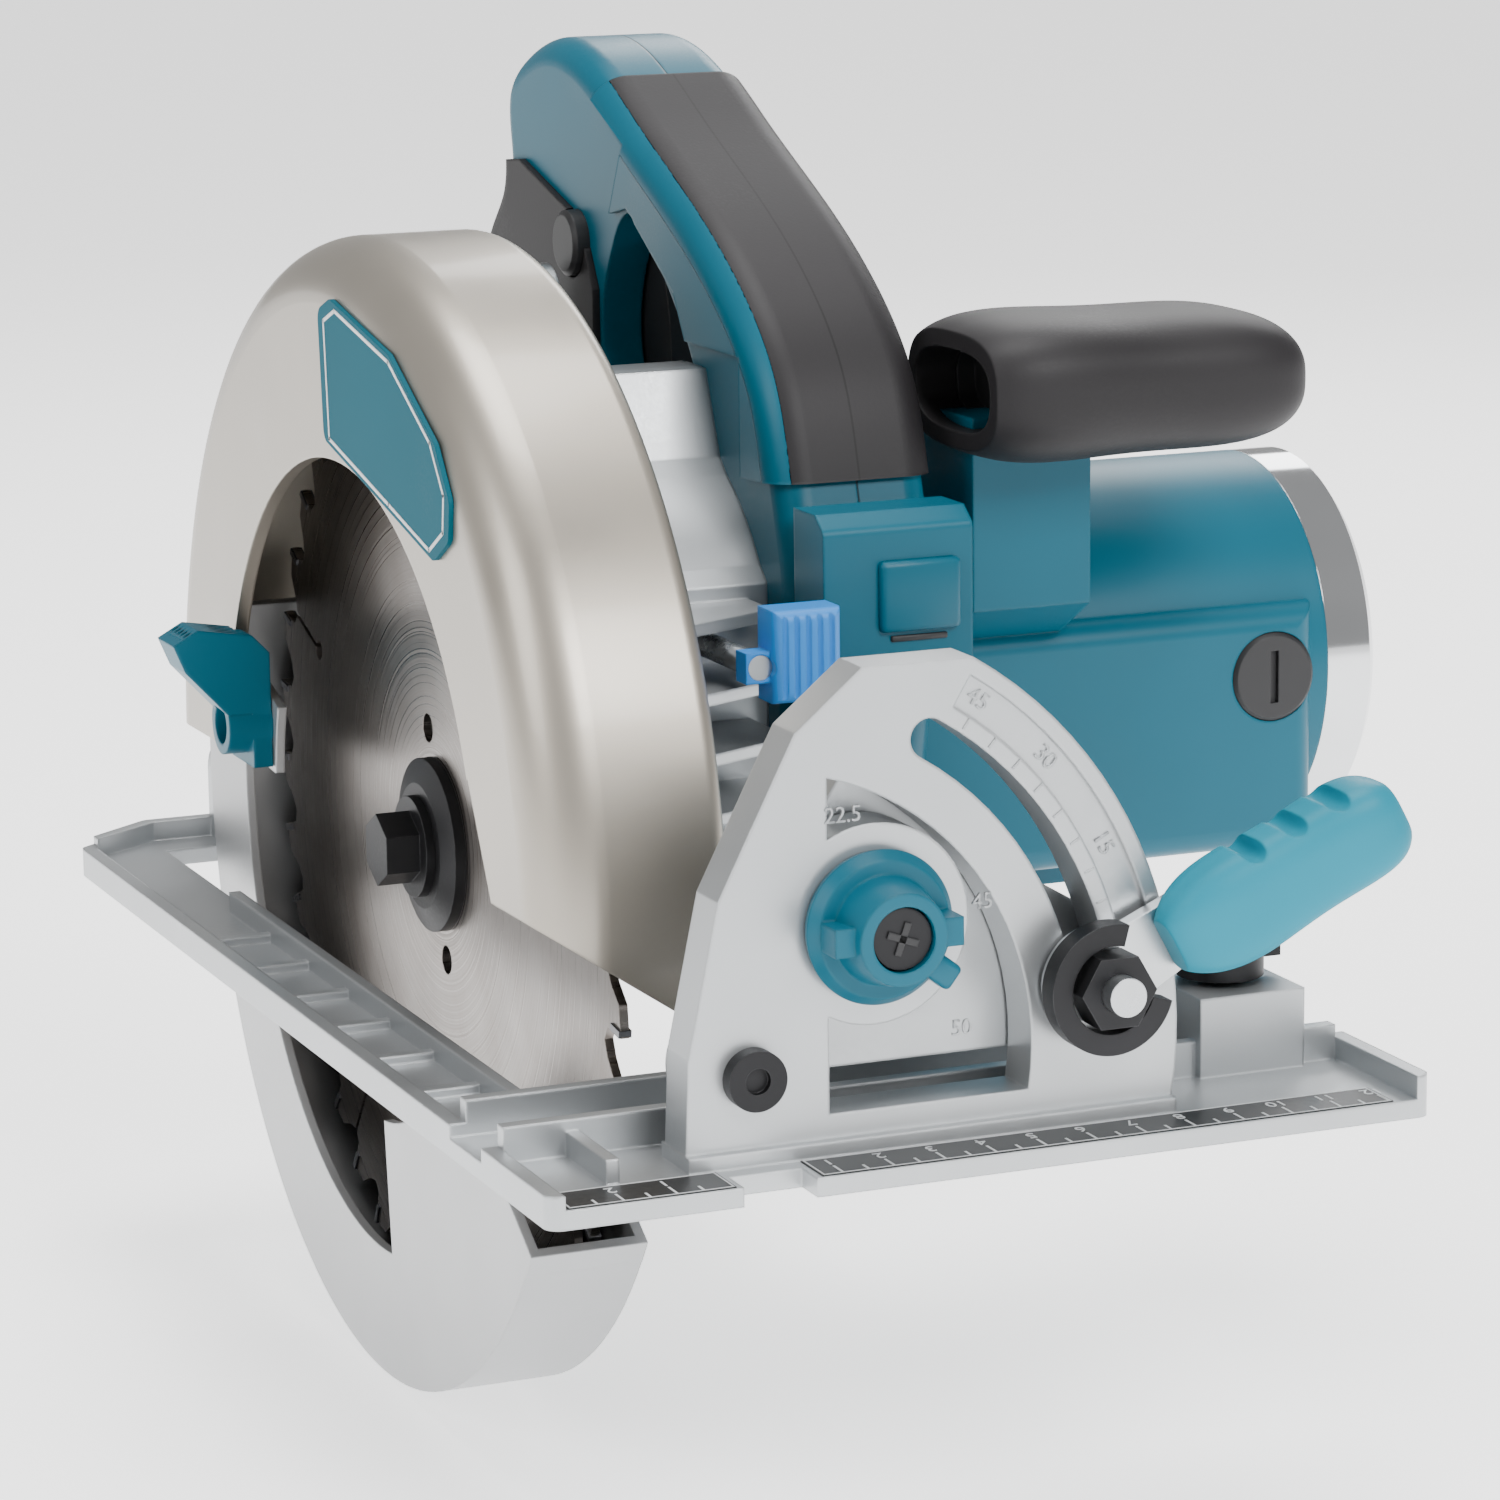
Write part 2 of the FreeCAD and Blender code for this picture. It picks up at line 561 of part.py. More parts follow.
# ---------------------------------------------------------------- tilt frame
def make_tilt_plate():
    pz = float(pivot_z)
    y0, y1 = float(tilt_front), float(tilt_back)
    thick = y1 - y0
    px = float(D.depth_pivot_y)
    bx, bz = float(bolt_x), float(bolt_z)
    outline = [(-9, pz - 3), (bx - 4, pz - 3), (bx + 9, bz - 8), (bx + 9, bz + 8), (bx - 8, bz + 18),
               (40, 66), (22, 70), (-2, 34), (-9, pz + 6)]
    corners = [Vector(a, y0, b) for a, b in outline]
    body = Part.Face(Part.makePolygon(corners + corners[:1])).extrude(Vector(0, thick, 0))
    body = body.fuse(Part.makeCylinder(10.5, thick, Vector(0, y0, pz), Vector(0, 1, 0)))
    left = float(D.arm_left)
    right = float(D.arm_left + D.arm_width)
    gap, lug = float(D.tilt_gap), float(D.lug_thick)
    z = float(D.depth_pivot_height)
    for x0 in (left - gap - lug, right + gap):
        body = body.fuse(block((x0, y0 + 1, z - 8), (x0 + lug, px, z + 8)))
        body = body.fuse(round_bar(8, (x0, px, z), (x0 + lug, px, z)))
    body = body.cut(round_bar(D.bevel_pivot_diameter / 2 + FIT, (0, y0 - 1, pz), (0, y1 + 1, pz)))
    body = body.cut(round_bar(D.clamp_bolt_diameter / 2, (bx, y0 - 1, bz), (bx, y1 + 1, bz)))
    body = body.cut(round_bar(D.depth_pin_diameter / 2, (left - 20, px, z), (right + 20, px, z)))
    stop_clear = Part.makeCylinder(12.6, thick + 2, Vector(float(D.stop_x), y0 - 1,
                                                          float(D.stop_height)), Vector(0, 1, 0))
    node("tilt_plate", shaped("tilt_plate_cast", body.cut(stop_clear).removeSplitter()))


def make_tilt_small_parts():
    left = D.arm_left - D.tilt_gap - D.lug_thick
    right = D.arm_left + D.arm_width + D.tilt_gap + D.lug_thick
    node("depth_pivot_pin", lathe("depth_pin", (left - 2.4, D.depth_pivot_y, D.depth_pivot_height), [
        (0, 0), (0, 6), (2.4, 6), (2.4, D.depth_pin_diameter / 2),
        (right - left + 4.4, D.depth_pin_diameter / 2), (right - left + 4.4, 0)]))
    node("bevel_clamp_bolt", lathe("clamp_bolt", (bolt_x, tilt_back + 4, bolt_z), [
        (0, 0), (0, 6.4), (4, 6.4), (4, D.clamp_bolt_diameter / 2),
        (tilt_back + D.arch_front + 19, D.clamp_bolt_diameter / 2),
        (tilt_back + D.arch_front + 19, 0)], "-Y"))
    pz = float(pivot_z)
    y0 = float(base_rear) - 17
    y1 = y0 + 5
    gx = float(D.guide_x)
    gt = float(D.guide_thick)
    bracket = block((-8, y0, 8.6), (gx + gt, y1, 31.5))
    bracket = bracket.fuse(block((gx - 3.2, y0 - 16, 12), (gx - FIT, y1, 31.5)))
    bracket = bracket.cut(round_bar(D.bevel_pivot_diameter / 2 + FIT, (0, y0 - 1, pz),
                                    (0, y1 + 1, pz)))
    bracket = bracket.cut(block((gx - FIT, y0 - 20, 0), (gx + gt + 1, y1 - 2, 40)))
    node("rear_bracket", shaped("rear_bracket_plate", bracket.removeSplitter()))
    pivot = (float(D.depth_pivot_y), float(D.depth_pivot_height))
    r, w = float(D.guide_radius), float(D.guide_width)
    start = float(D.depth_bolt_angle)
    end = start + float(D.depth_range)
    arc = sector(r - w / 2, r + w / 2, -3.0, end, gx, gt, pivot)
    dy, dz = polar(r, end)
    arc = arc.fuse(round_bar(w / 2, (gx, pivot[0] + dy, pivot[1] + dz),
                             (gx + gt, pivot[0] + dy, pivot[1] + dz)))
    arc = arc.fuse(block((gx, pivot[0] + r - 6, 13), (gx + gt, y1 - 2.2, 30)))
    slot = float(D.guide_slot)
    gap = sector(r - slot / 2, r + slot / 2, start, end, gx - 1, gt + 2, pivot)
    for angle in (start, end):
        dy, dz = polar(r, angle)
        gap = gap.fuse(round_bar(slot / 2, (gx - 1, pivot[0] + dy, pivot[1] + dz),
                                 (gx + gt + 1, pivot[0] + dy, pivot[1] + dz)))
    node("depth_guide", shaped("depth_guide_plate", arc.cut(gap).removeSplitter()))


def make_bevel_lever():
    """Nut, clip, lever plate and grip that clamp the bevel setting."""
    x, z = bolt_x, bolt_z
    y = -D.arch_front - 0.4
    bore = D.clamp_bolt_diameter / 2 + FIT
    nut = new("Part::Prism", "nut_hexagon")
    nut.Polygon = 6
    bind(nut, Circumradius=7.5, Height=7)
    place(nut, (x, y - 4, z), TURN["-Y"])
    node("bevel_clamp_nut", cut("nut", nut, [cylinder("nut_bore", bore, 16, (x, y, z), "-Y")]))
    node("bevel_lever_clip", clip_shape(float(x), float(y), float(z)))
    bx, bz = float(x), float(z)
    y0 = float(y) - 3.6
    direction = 28.0
    along = Vector(math.cos(math.radians(direction)), 0, math.sin(math.radians(direction)))
    across = Vector(-along.z, 0, along.x)

    def at(u, v, y):
        return Vector(bx, y, bz) + along * u + across * v

    outline = [at(-3, -8, y0), at(18, -6.4, y0), at(34, -6, y0), at(34, 6, y0), at(18, 6.4, y0),
               at(-3, 8, y0)]
    lever = Part.Face(Part.makePolygon(outline + outline[:1])).extrude(Vector(0, 3.2, 0))
    lever = lever.fuse(round_bar(10.6, (bx, y0, bz), (bx, y0 + 3.2, bz)))
    lever = lever.cut(round_bar(bore, (bx, y0 - 1, bz), (bx, y0 + 4, bz)))
    node("bevel_lever_plate", shaped("lever_plate", lever.removeSplitter()))
    sections = [(14, 5.4, 3.4), (19, 8.6, 6.2), (30, 10.2, 7.6), (46, 9.4, 8.2), (59, 8.2, 8.0),
                (62, 6.0, 5.6)]
    wires = []
    for u, half_v, half_y in sections:
        wires.append(superellipse([at(u, 0, y0 - 1.8 - 0.09 * u)] + [across, Vector(0, 1, 0)],
                                  half_v, half_y))
    grip = Part.makeLoft(wires, True, False)
    cavity = Part.Face(Part.makePolygon([at(8, -6.9, y0 - 0.1), at(34.2, -6.1, y0 - 0.1),
                                         at(34.2, 6.1, y0 - 0.1), at(8, 6.9, y0 - 0.1),
                                         at(8, -6.9, y0 - 0.1)])).extrude(Vector(0, 3.4, 0))
    grip = grip.cut(cavity)
    for u in (34, 43, 52):
        groove = Part.makeCylinder(2.2, 40, at(u, 9.6, y0 - 26), Vector(0, 1, 0))
        grip = grip.cut(groove)
    node("bevel_lever_grip", shaped("lever_grip", largest(grip)))


def largest(shape):
    return max(shape.Solids, key=lambda solid: solid.Volume)


def superellipse(frame, half_a, half_b, power=0.62, count=20):
    """A closed rounded-box wire: frame is [centre, first direction, second direction]."""
    centre, first, second = frame
    points = []
    for i in range(count):
        angle = 2 * math.pi * i / count
        c, s = math.cos(angle), math.sin(angle)
        a = math.copysign(abs(c) ** power, c) * half_a
        b = math.copysign(abs(s) ** power, s) * half_b
        points.append(centre + first * a + second * b)
    curve = Part.BSplineCurve()
    curve.interpolate(Points=points, PeriodicFlag=True)
    return Part.Wire([curve.toShape()])


def clip_shape(x, y, z):
    """An open retaining clip round the nut."""
    clip = xz_sector(8.2, 12.2, 75, 345, y - 8.6, 4.6, (x, z))
    return shaped("lever_clip", clip)


def make_depth_clamp():
    y, z = depth_bolt_y, depth_bolt_z
    gx, gt = D.guide_x, D.guide_thick
    radius = D.depth_bolt_diameter / 2
    node("depth_clamp_bolt", lathe("depth_bolt", (gx + gt + 0.3, y, z), [
        (-14.3, 0), (-14.3, radius), (0, radius), (0, 8), (3.4, 8), (3.4, 0)]))
    hub = cylinder("depth_lever_hub", 9, 8, (gx - 12.5, y, z))
    arm = box("depth_lever_arm", (gx - 12.5, y - 4, z), (gx - 8.5, y + 5, z + 44))
    tip = cylinder("depth_lever_tip", 7.5, 11, (gx - 15.8, y + 0.5, z + 44))
    hole = cylinder("depth_lever_bore", radius + FIT, 30, (gx - 20, y, z))
    node("depth_clamp_lever", cut("depth_lever", fuse("depth_lever_stock", [hub, arm, tip]), [hole]))


# ---------------------------------------------------------------- blade case and guard
def make_blade_case():
    ay, az = arbor
    off = float(D.case_offset)
    cy, cz = ay + off, az + off
    r, wall = float(case_radius), float(D.case_wall)
    x0, x1 = -float(D.case_left), float(D.case_right)
    drum = Part.makeCylinder(r, x1 - x0, Vector(x0, cy, cz), Vector(1, 0, 0))
    left_edges = [e for e in drum.Edges if abs(e.CenterOfMass.x - x0) < 0.01 and e.Closed]
    right_edges = [e for e in drum.Edges if abs(e.CenterOfMass.x - x1) < 0.01 and e.Closed]
    drum = drum.makeFillet(float(D.case_shoulder), left_edges).makeFillet(3.5, [
        e for e in drum.makeFillet(float(D.case_shoulder), left_edges).Edges
        if e.Closed and abs(e.CenterOfMass.x - x1) < 0.01]) if right_edges else drum
    inner = Part.makeCylinder(r - wall, x1 - x0 - 2 * wall, Vector(x0 + wall, cy, cz),
                              Vector(1, 0, 0))
    rim = [e for e in inner.Edges if abs(e.CenterOfMass.x - x0 - wall) < 0.01 and e.Closed]
    inner = inner.makeFillet(float(D.case_shoulder) - wall, rim)
    case = drum.cut(inner)
    below = yz_outline_cut(x0, x1, cy, cz, r)
    case = case.cut(below)
    window = Part.makeCylinder(float(window_radius), 12, Vector(x0 - 2, ay, az),
                               Vector(1, 0, 0))
    w = float(window_radius)
    corners = [(ay - w - 8, az + 6), (ay - w - 11, az - 30), (ay + w + 2, az - 30),
               (ay + w + 1, az + 12), (ay, az + 10), (ay - w + 5, az + 30)]
    front = yz_face(corners, x0 - 2).extrude(Vector(12, 0, 0))
    case = case.cut(window.fuse(front))
    case = case.cut(Part.makeCylinder(29.6, 10, Vector(x1 - 6, ay, az), Vector(1, 0, 0)))
    node("blade_case", shaped("blade_case_cast", case))


def yz_outline_cut(x0, x1, cy, cz, r):
    """What the case leaves open underneath: a slanting lower edge, front to back."""
    low = cz - r - 5
    span = x1 - x0
    left = [Vector(x0 - 1, cy - r - 5, low), Vector(x0 - 1, cy - r - 5, 37.5),
            Vector(x0 - 1, cy + r + 5, 34), Vector(x0 - 1, cy + r + 5, low)]
    right = [Vector(x1 + 1, cy - r - 5, low), Vector(x1 + 1, cy - r - 5, 10),
             Vector(x1 + 1, cy + r + 5, 33.5), Vector(x1 + 1, cy + r + 5, low)]
    wires = [Part.makePolygon(points + points[:1]) for points in (left, right)]
    return Part.makeLoft(wires, True, True) if span > 0 else None


BADGE = [(168, 139), (160, 142), (124, 135), (98, 121), (90, 111), (91, 103), (100, 98),
         (126, 104), (166, 113)]


def make_badge():
    """The blank badge on the case, following the case's left face."""
    ay, az = arbor
    grown = float(case_radius) / 121.0
    moved = [((y - 162) * grown + ay, (z - 28) * grown + az) for y, z in BADGE]
    x0 = -float(D.case_left)
    face = yz_face(moved, x0 - 1.0)
    badge = face.extrude(Vector(1.0, 0, 0))
    upright = [e for e in badge.Edges if abs(e.Length - 1.0) < 1e-6]
    node("case_badge", shaped("badge", badge.makeFillet(3.0, upright)))


def make_guard():
    ay, az = arbor
    r, w = float(guard_radius), float(D.guard_wall)
    x0, x1 = -float(D.guard_left), float(D.guard_right)
    start, end = float(D.guard_front_angle), float(D.guard_rear_angle)
    band = sector(r - w, r, start, end, x0, x1 - x0, arbor)
    hub = float(D.guard_hub_radius)
    right = sector(hub + 2, r - 0.5, start, end, x1 - w, w, arbor)
    web = sector(r - 55, r - 0.5, start, 264, x0, w, arbor)
    rim = sector(float(guard_inner_radius), r - 0.5, 262, end, x0, w, arbor)
    tube = Part.makeCylinder(hub + 4, 7, Vector(x1 - w, ay, az), Vector(1, 0, 0))
    nose = sector(r - 1, r + 0.1, start, start + 3, x0, x1 - x0, arbor)
    lug = sector(hub + 1, r - 27, end - 16, end, x1 - w, w, arbor)
    pad_angle = float(D.guard_lever_angle)
    pad = sector(float(lever_radius) - 8.5, r - 0.5, pad_angle - 8, pad_angle + 6, x0, w, arbor)
    bridge = sector(r - w, r, end - 3, 360 + pad_angle + 6, x0, x1 - x0, arbor)
    guard = band.fuse([right, web, rim, tube, nose, lug, pad, bridge])
    bore = Part.makeCylinder(hub, 30, Vector(x1 - 10, ay, az), Vector(1, 0, 0))
    ly, lz = float(lever_y), float(lever_z)
    hole = round_bar(2.5 + FIT, (x0 - 2, ly, lz), (x0 + 4, ly, lz))
    node("lower_guard", shaped("guard_shell", guard.cut(bore).cut(hole).removeSplitter()))


def make_guard_lever():
    y, z = lever_y, lever_z
    x0 = -D.guard_left
    end = -D.guard_lever_end
    hub = cylinder("lever_hub", 6.5, 9.8, (x0 - 9.8, y, z), "X")
    yy, zz, xe = float(y), float(z), float(end)
    xi = float(x0)
    outline = [(xi - 0.2, zz + 3), (xi - 9.8, zz + 3), (xe, zz + 13), (xe - 2.5, zz + 19),
               (xe + 3, zz + 22), (xi - 4, zz + 20), (xi - 0.2, zz + 16)]
    corners = [Vector(a, yy - 6, b) for a, b in outline]
    arm = Part.Face(Part.makePolygon(corners + corners[:1])).extrude(Vector(0, 12, 0))
    for i in range(5):
        top = zz + 20.6
        rib = round_bar(0.7, (xe - 3, yy - 4.4 + 2.2 * i, top), (xi, yy - 4.4 + 2.2 * i, top))
        arm = arm.cut(rib)
    reach = float(window_radius) - 2
    arm = arm.cut(sector(reach, reach + 25, 0, 60, xi - 5.6, 8, arbor))
    foot = block((xi - 4.4, yy - 6, zz - 9), (xi - 0.2, yy + 20, zz + 4))
    foot = foot.common(round_bar(reach, (xi - 5, *arbor), (xi, *arbor)))
    stock = fuse("guard_lever_stock", [hub, shaped("guard_lever_arm", arm),
                                      shaped("guard_lever_foot", foot)])
    holes = [cylinder("lever_screw_hole", 2.5 + FIT, 12, (x0 - 11, y, z)),
             cylinder("lever_counterbore", 4.2, 6.2, (x0 - 10.8, y, z))]
    node("guard_lever", cut("guard_lever_body", stock, holes))
    node("guard_lever_screw", lathe("lever_screw", (x0 - 7.4, y, z), [
        (0, 0), (0, 4.0), (2.8, 4.0), (2.8, 2.5), (D.guard_wall + 7.4, 2.5),
        (D.guard_wall + 7.4, 0)]))


# ---------------------------------------------------------------- spindle group
def gear_shape(teeth, module, addendum, thin, width, x, centre, phase):
    """A spur gear: involute flanks at 20 degrees, rounded down to a clear root."""
    pitch = teeth * module / 2
    base = pitch * math.cos(math.radians(20))
    tip = pitch + addendum
    root = pitch - 1.25 * module
    half = math.pi / (2 * teeth) - thin / (2 * pitch)
    involute_pitch = math.tan(math.radians(20)) - math.radians(20)
    points = []
    for i in range(teeth):
        mid = phase + 2 * math.pi * i / teeth
        flank = []
        start = max(base, root)
        for k in range(4):
            radius = start + (tip - start) * k / 3
            roll = math.sqrt(max((radius / base) ** 2 - 1, 0))
            angle = half + involute_pitch - (roll - math.atan(roll))
            flank.append((radius, angle))
        if root < base:
            flank.insert(0, (root, flank[0][1]))
        points += [(r, mid - a) for r, a in flank]
        points += [(r, mid + a) for r, a in reversed(flank)]
    cy, cz = centre
    corners = [(cy + r * math.cos(a), cz + r * math.sin(a)) for r, a in points]
    return yz_face(corners, x).extrude(Vector(width, 0, 0))


def make_spindle_group():
    ay, az = D.arbor_y, D.arbor_height
    at = (0, ay, az)
    nose = D.nose_diameter / 2
    rear = small_bearing_left + D.small_bearing_width
    thread = D.arbor_bolt_diameter / 2
    half_plate = D.blade_plate / 2
    node("spindle", lathe("spindle_turned", at, [
        (-half_plate - 1.5, thread + FIT), (-half_plate - 1.5, nose - 0.5),
        (-half_plate - 1, nose), (D.gear_x - 3, nose), (D.gear_x - 3, nose + 2.5),
        (D.gear_x, nose + 2.5), (D.gear_x, nose), (gear_right, nose), (gear_right, D.motor_shaft_radius),
        (rear, D.motor_shaft_radius), (rear, 0), (15, 0), (15, thread + FIT)]))
    wheel = gear_shape(int(D.wheel_teeth), float(D.gear_module), 0.62 * float(D.gear_module),
                       float(D.backlash), float(D.gear_face), float(D.gear_x), arbor,
                       math.radians(float(D.motor_direction)) + math.pi / float(D.wheel_teeth))
    wheel = wheel.cut(round_bar(nose, (D.gear_x - 1, ay, az), (gear_right + 1, ay, az)))
    node("gear_wheel", shaped("wheel", wheel))
    bore = D.blade_bore / 2
    node("inner_flange", lathe("inner_flange_turned", at, [
        (-half_plate + 0.2, nose + 0.02), (-half_plate + 0.2, bore - FIT), (half_plate, bore - FIT),
        (half_plate, D.flange_diameter / 2), (half_plate + 2.4, D.flange_diameter / 2),
        (inner_flange_right, D.flange_diameter / 2 - 4), (inner_flange_right, nose + 0.02)]))
    node("saw_blade", shaped("blade", blade_shape()))
    left = half_plate
    thick = D.outer_flange_thick
    node("outer_flange", lathe("outer_flange_turned", at, [
        (-left, nose + 0.3), (-left, D.flange_diameter / 2), (-left - 2.4, D.flange_diameter / 2),
        (-left - thick, D.flange_diameter / 2 - 5), (-left - thick, thread + 0.3),
        (-left - 1.8, thread + 0.3), (-left - 1.8, nose + 0.3)]))
    head = new("Part::Prism", "arbor_bolt_hexagon")
    head.Polygon = 6
    bind(head, Circumradius=7.6, Height=7.2)
    place(head, (-left - thick - 2.0, ay, az), TURN["-X"])
    washer = cylinder("arbor_bolt_washer", 10.5, 2.0, (-left - thick - 2.0, ay, az))
    shank = cylinder("arbor_bolt_shank", thread, left + thick + 14, (-left - thick, ay, az))
    node("arbor_bolt", fuse("arbor_bolt_whole", [head, washer, shank]))


def blade_shape():
    """Toothed disc with its bore, expansion slots and drive-pin hole."""
    ay, az = arbor
    radius, thick = float(blade_radius), float(D.blade_plate)
    teeth, deep = int(D.blade_teeth), float(D.gullet_depth)
    pitch = 2 * math.pi / teeth
    corners = []
    for i in range(teeth):
        start = i * pitch
        for part, r in ((0.0, radius), (0.04, radius - deep), (0.22, radius - deep - 1.2),
                        (0.42, radius - deep + 1.0), (0.62, radius - 1.6)):
            angle = start + part * pitch
            corners.append((ay + r * math.cos(angle), az + r * math.sin(angle)))
    disc = yz_face(corners, -thick / 2).extrude(Vector(thick, 0, 0))
    tools = [Part.makeCylinder(float(D.blade_bore) / 2, thick + 2, Vector(-thick / 2 - 1, ay, az),
                               Vector(1, 0, 0))]
    for k in range(5):
        angle = 20 + 72 * k
        slot = sector(radius - 24, radius + 3, angle - 0.32, angle + 0.32, -thick, 2 * thick, arbor)
        dy, dz = polar(radius - 24, angle)
        tools.append(slot)
        tools.append(Part.makeCylinder(2.2, 2 * thick, Vector(-thick, ay + dy, az + dz),
                                       Vector(1, 0, 0)))
    for angle in (80, 260):
        dy, dz = polar(24, angle)
        tools.append(Part.makeCylinder(3, 2 * thick, Vector(-thick, ay + dy, az + dz),
                                       Vector(1, 0, 0)))
    return disc.cut(tools)


# ---------------------------------------------------------------- gear housing
def make_gear_housing():
    ay, az = arbor
    my, mz = motor
    x0, x1 = float(D.case_right), float(D.housing_right)
    span = x1 - x0
    ch, cw = float(chamber_radius), float(D.chamber_wall)
    sb = float(D.small_bearing_radius)
    top = mz + float(D.drum_radius) + 8
    stock = Part.makeCylinder(ch + cw, span, Vector(x0, ay, az), Vector(1, 0, 0))
    core = yz_face([(D.core_front - 0.0, 24), (my - 30, mz - 45), (my + 39, mz - 40),
                    (my + 39, mz + 38), (my - 18, top), (my - 6, top + 4), (my - 19, top + 4),
                    (my - 26, mz + 52), (D.core_front - 6, mz + 30), (D.core_front - 6, 24)],
                   x0).extrude(Vector(span, 0, 0))
    stock = stock.fuse(core)
    stock = stock.fuse(sector(30, float(D.drum_radius), 108, 150, x0, span, motor))
    box_top = block((x0 + 2, my - 20, 100), (x1, my - 5, 126.5))
    stock = stock.fuse(box_top.makeFillet(4, box_top.Edges[8:12]))
    fin = float(D.fin_thick)
    for k in range(5):
        z = 34 + 12 * k
        front = float(D.fin_front) + (8 if k == 4 else 0)
        fin_face = [Vector(x0, front, z), Vector(x1 - 4, front + 14, z), Vector(x1 - 4, 125, z),
                    Vector(x0, 125, z)]
        stock = stock.fuse(Part.Face(Part.makePolygon(fin_face + fin_face[:1])).extrude(
            Vector(0, 0, fin)))
    ax0 = float(D.arm_left)
    ax1 = ax0 + float(D.arm_width)
    py, pz = float(D.depth_pivot_y), float(D.depth_pivot_height)
    arm = round_bar(7.6, (ax0, py, pz), (ax1, py, pz))
    arm = arm.fuse(block((ax0, py, pz - 7.6), (ax1, 74, pz + 5)))
    arm = arm.fuse(block((ax0, 70, pz - 7.6), (x1, float(D.core_front) + 8, pz + 5)))
    stock = stock.fuse(arm)
    by, bz = float(depth_bolt_y), float(depth_bolt_z)
    rear = block((x0 + 7, my + 30, bz - 11), (x0 + 10.5, by + 9, bz + 10))
    stock = stock.fuse(rear)
    guide_gap = float(D.guide_x) - 1
    rear_boss = block((x0 + 7, my + 30, bz - 11), (x1, my + 39, bz + 10))
    stock = stock.fuse(rear_boss)
    tools = [Part.makeCylinder(ch + 1.2, float(D.gear_x) - 2.5 - x0 + 1, Vector(x0 - 1, ay, az),
                               Vector(1, 0, 0)),
             Part.makeCylinder(ch, float(plate_left) - x0, Vector(x0, ay, az), Vector(1, 0, 0)),
             Part.makeCylinder(float(pinion_tip) + 1.6, float(plate_left) - x0 - 4,
                               Vector(x0 + 4, my, mz), Vector(1, 0, 0)),
             Part.makeCylinder(sb, float(D.small_bearing_width), Vector(float(plate_left), ay, az),
                               Vector(1, 0, 0)),
             Part.makeCylinder(sb, float(D.small_bearing_width), Vector(float(plate_left), my, mz),
                               Vector(1, 0, 0)),
             Part.makeCylinder(float(D.motor_shaft_radius) + 1.2, 30, Vector(30, my, mz),
                               Vector(1, 0, 0)),
             round_bar(D.depth_pin_diameter / 2 + FIT, (ax0 - 5, py, pz), (ax1 + 5, py, pz)),
             round_bar(D.depth_bolt_diameter / 2 + FIT, (x0, by, bz), (guide_gap, by, bz)),
             lock_hole_shape()]
    node("gear_housing", shaped("gear_housing_cast", stock.cut(tools).removeSplitter()))


def lock_hole_shape():
    x, z = float(D.lock_x), float(D.lock_rod_height)
    r = float(D.lock_rod_diameter) / 2 + FIT
    return round_bar(r, (x, 60, z), (x, motor[0] - float(pinion_tip) - 8, z))


def make_retainer_and_bearings():
    at = (0, D.arbor_y, D.arbor_height)
    hub = D.guard_hub_radius - FIT
    b0 = front_bearing_left
    b1 = b0 + D.front_bearing_width
    br = D.front_bearing_radius
    x0 = D.case_right
    node("bearing_retainer", lathe("retainer", at, [
        (retainer_left, 10), (retainer_left, hub), (D.guard_right + 5.3, hub),
        (D.guard_right + 5.3, 29), (x0, 29), (x0, chamber_radius + 1), (b1, chamber_radius + 1),
        (b1, br), (b0, br), (b0, 10)]))
    node("spindle_bearing", ring("front_bearing", br, D.nose_diameter / 2 + FIT,
                                 D.front_bearing_width, (b0,) + at[1:]))
    small = []
    for name, x, y, z in (("spindle_rear_bearing", small_bearing_left, at[1], at[2]),
                          ("pinion_bearing", small_bearing_left, motor_y, motor_z),
                          ("tail_bearing", rear_bearing_left, motor_y, motor_z)):
        small.append(ring(name, D.small_bearing_radius, D.motor_shaft_radius + FIT,
                          D.small_bearing_width, (x, y, z)))
    node("small_bearings", fuse("small_bearing_set", small))


# ---------------------------------------------------------------- armature group
def make_armature_group():
    my, mz = motor_y, motor_z
    r = D.motor_shaft_radius
    rear = rear_bearing_left + D.small_bearing_width
    thin = float(D.backlash)
    pinion = gear_shape(int(D.pinion_teeth), float(D.gear_module), float(D.gear_module) * 0.9, thin,
                        float(D.gear_face) + 1.5, float(D.gear_x) - 0.5, motor,
                        math.radians(float(D.motor_direction)) + math.pi)
    pinion_end = D.gear_x + D.gear_face + 1.0
    rod = cylinder("armature_rod", r, rear - pinion_end, (pinion_end, my, mz))
    node("armature_shaft", fuse("armature_shaft_whole", [shaped("pinion", pinion), rod]))
    x = D.core_left
    core = Part.makeCylinder(float(D.stator_bore - D.air_gap), float(D.core_length),
                             Vector(float(x), *motor), Vector(1, 0, 0))
    grooves = []
    for k in range(16):
        dy, dz = polar(float(D.stator_bore - D.air_gap) - 3, 22.5 * k)
        slot = block((x - 1, motor[0] + 14, mz - 1.1), (x + D.core_length + 1, motor[0] + 30,
                                                        mz + 1.1))
        slot.rotate(Vector(0, *motor), Vector(1, 0, 0), 22.5 * k)
        grooves.append(slot)
    core = core.cut(grooves).cut(round_bar(r, (x - 1, my, mz), (x + D.core_length + 1, my, mz)))
    node("armature_core", shaped("core_stack", core))
    end = x + D.core_length
    node("armature_windings", fuse("windings", [
        ring("winding_left", 18, r, 6, (x - 6, my, mz)),
        ring("winding_right", 18, r, 10, (end, my, mz))]))
    node("commutator", ring("commutator_ring", D.commutator_radius, r, D.commutator_length,
                            (D.commutator_left, my, mz)))
    node("cooling_fan", shaped("fan", fan_shape()))


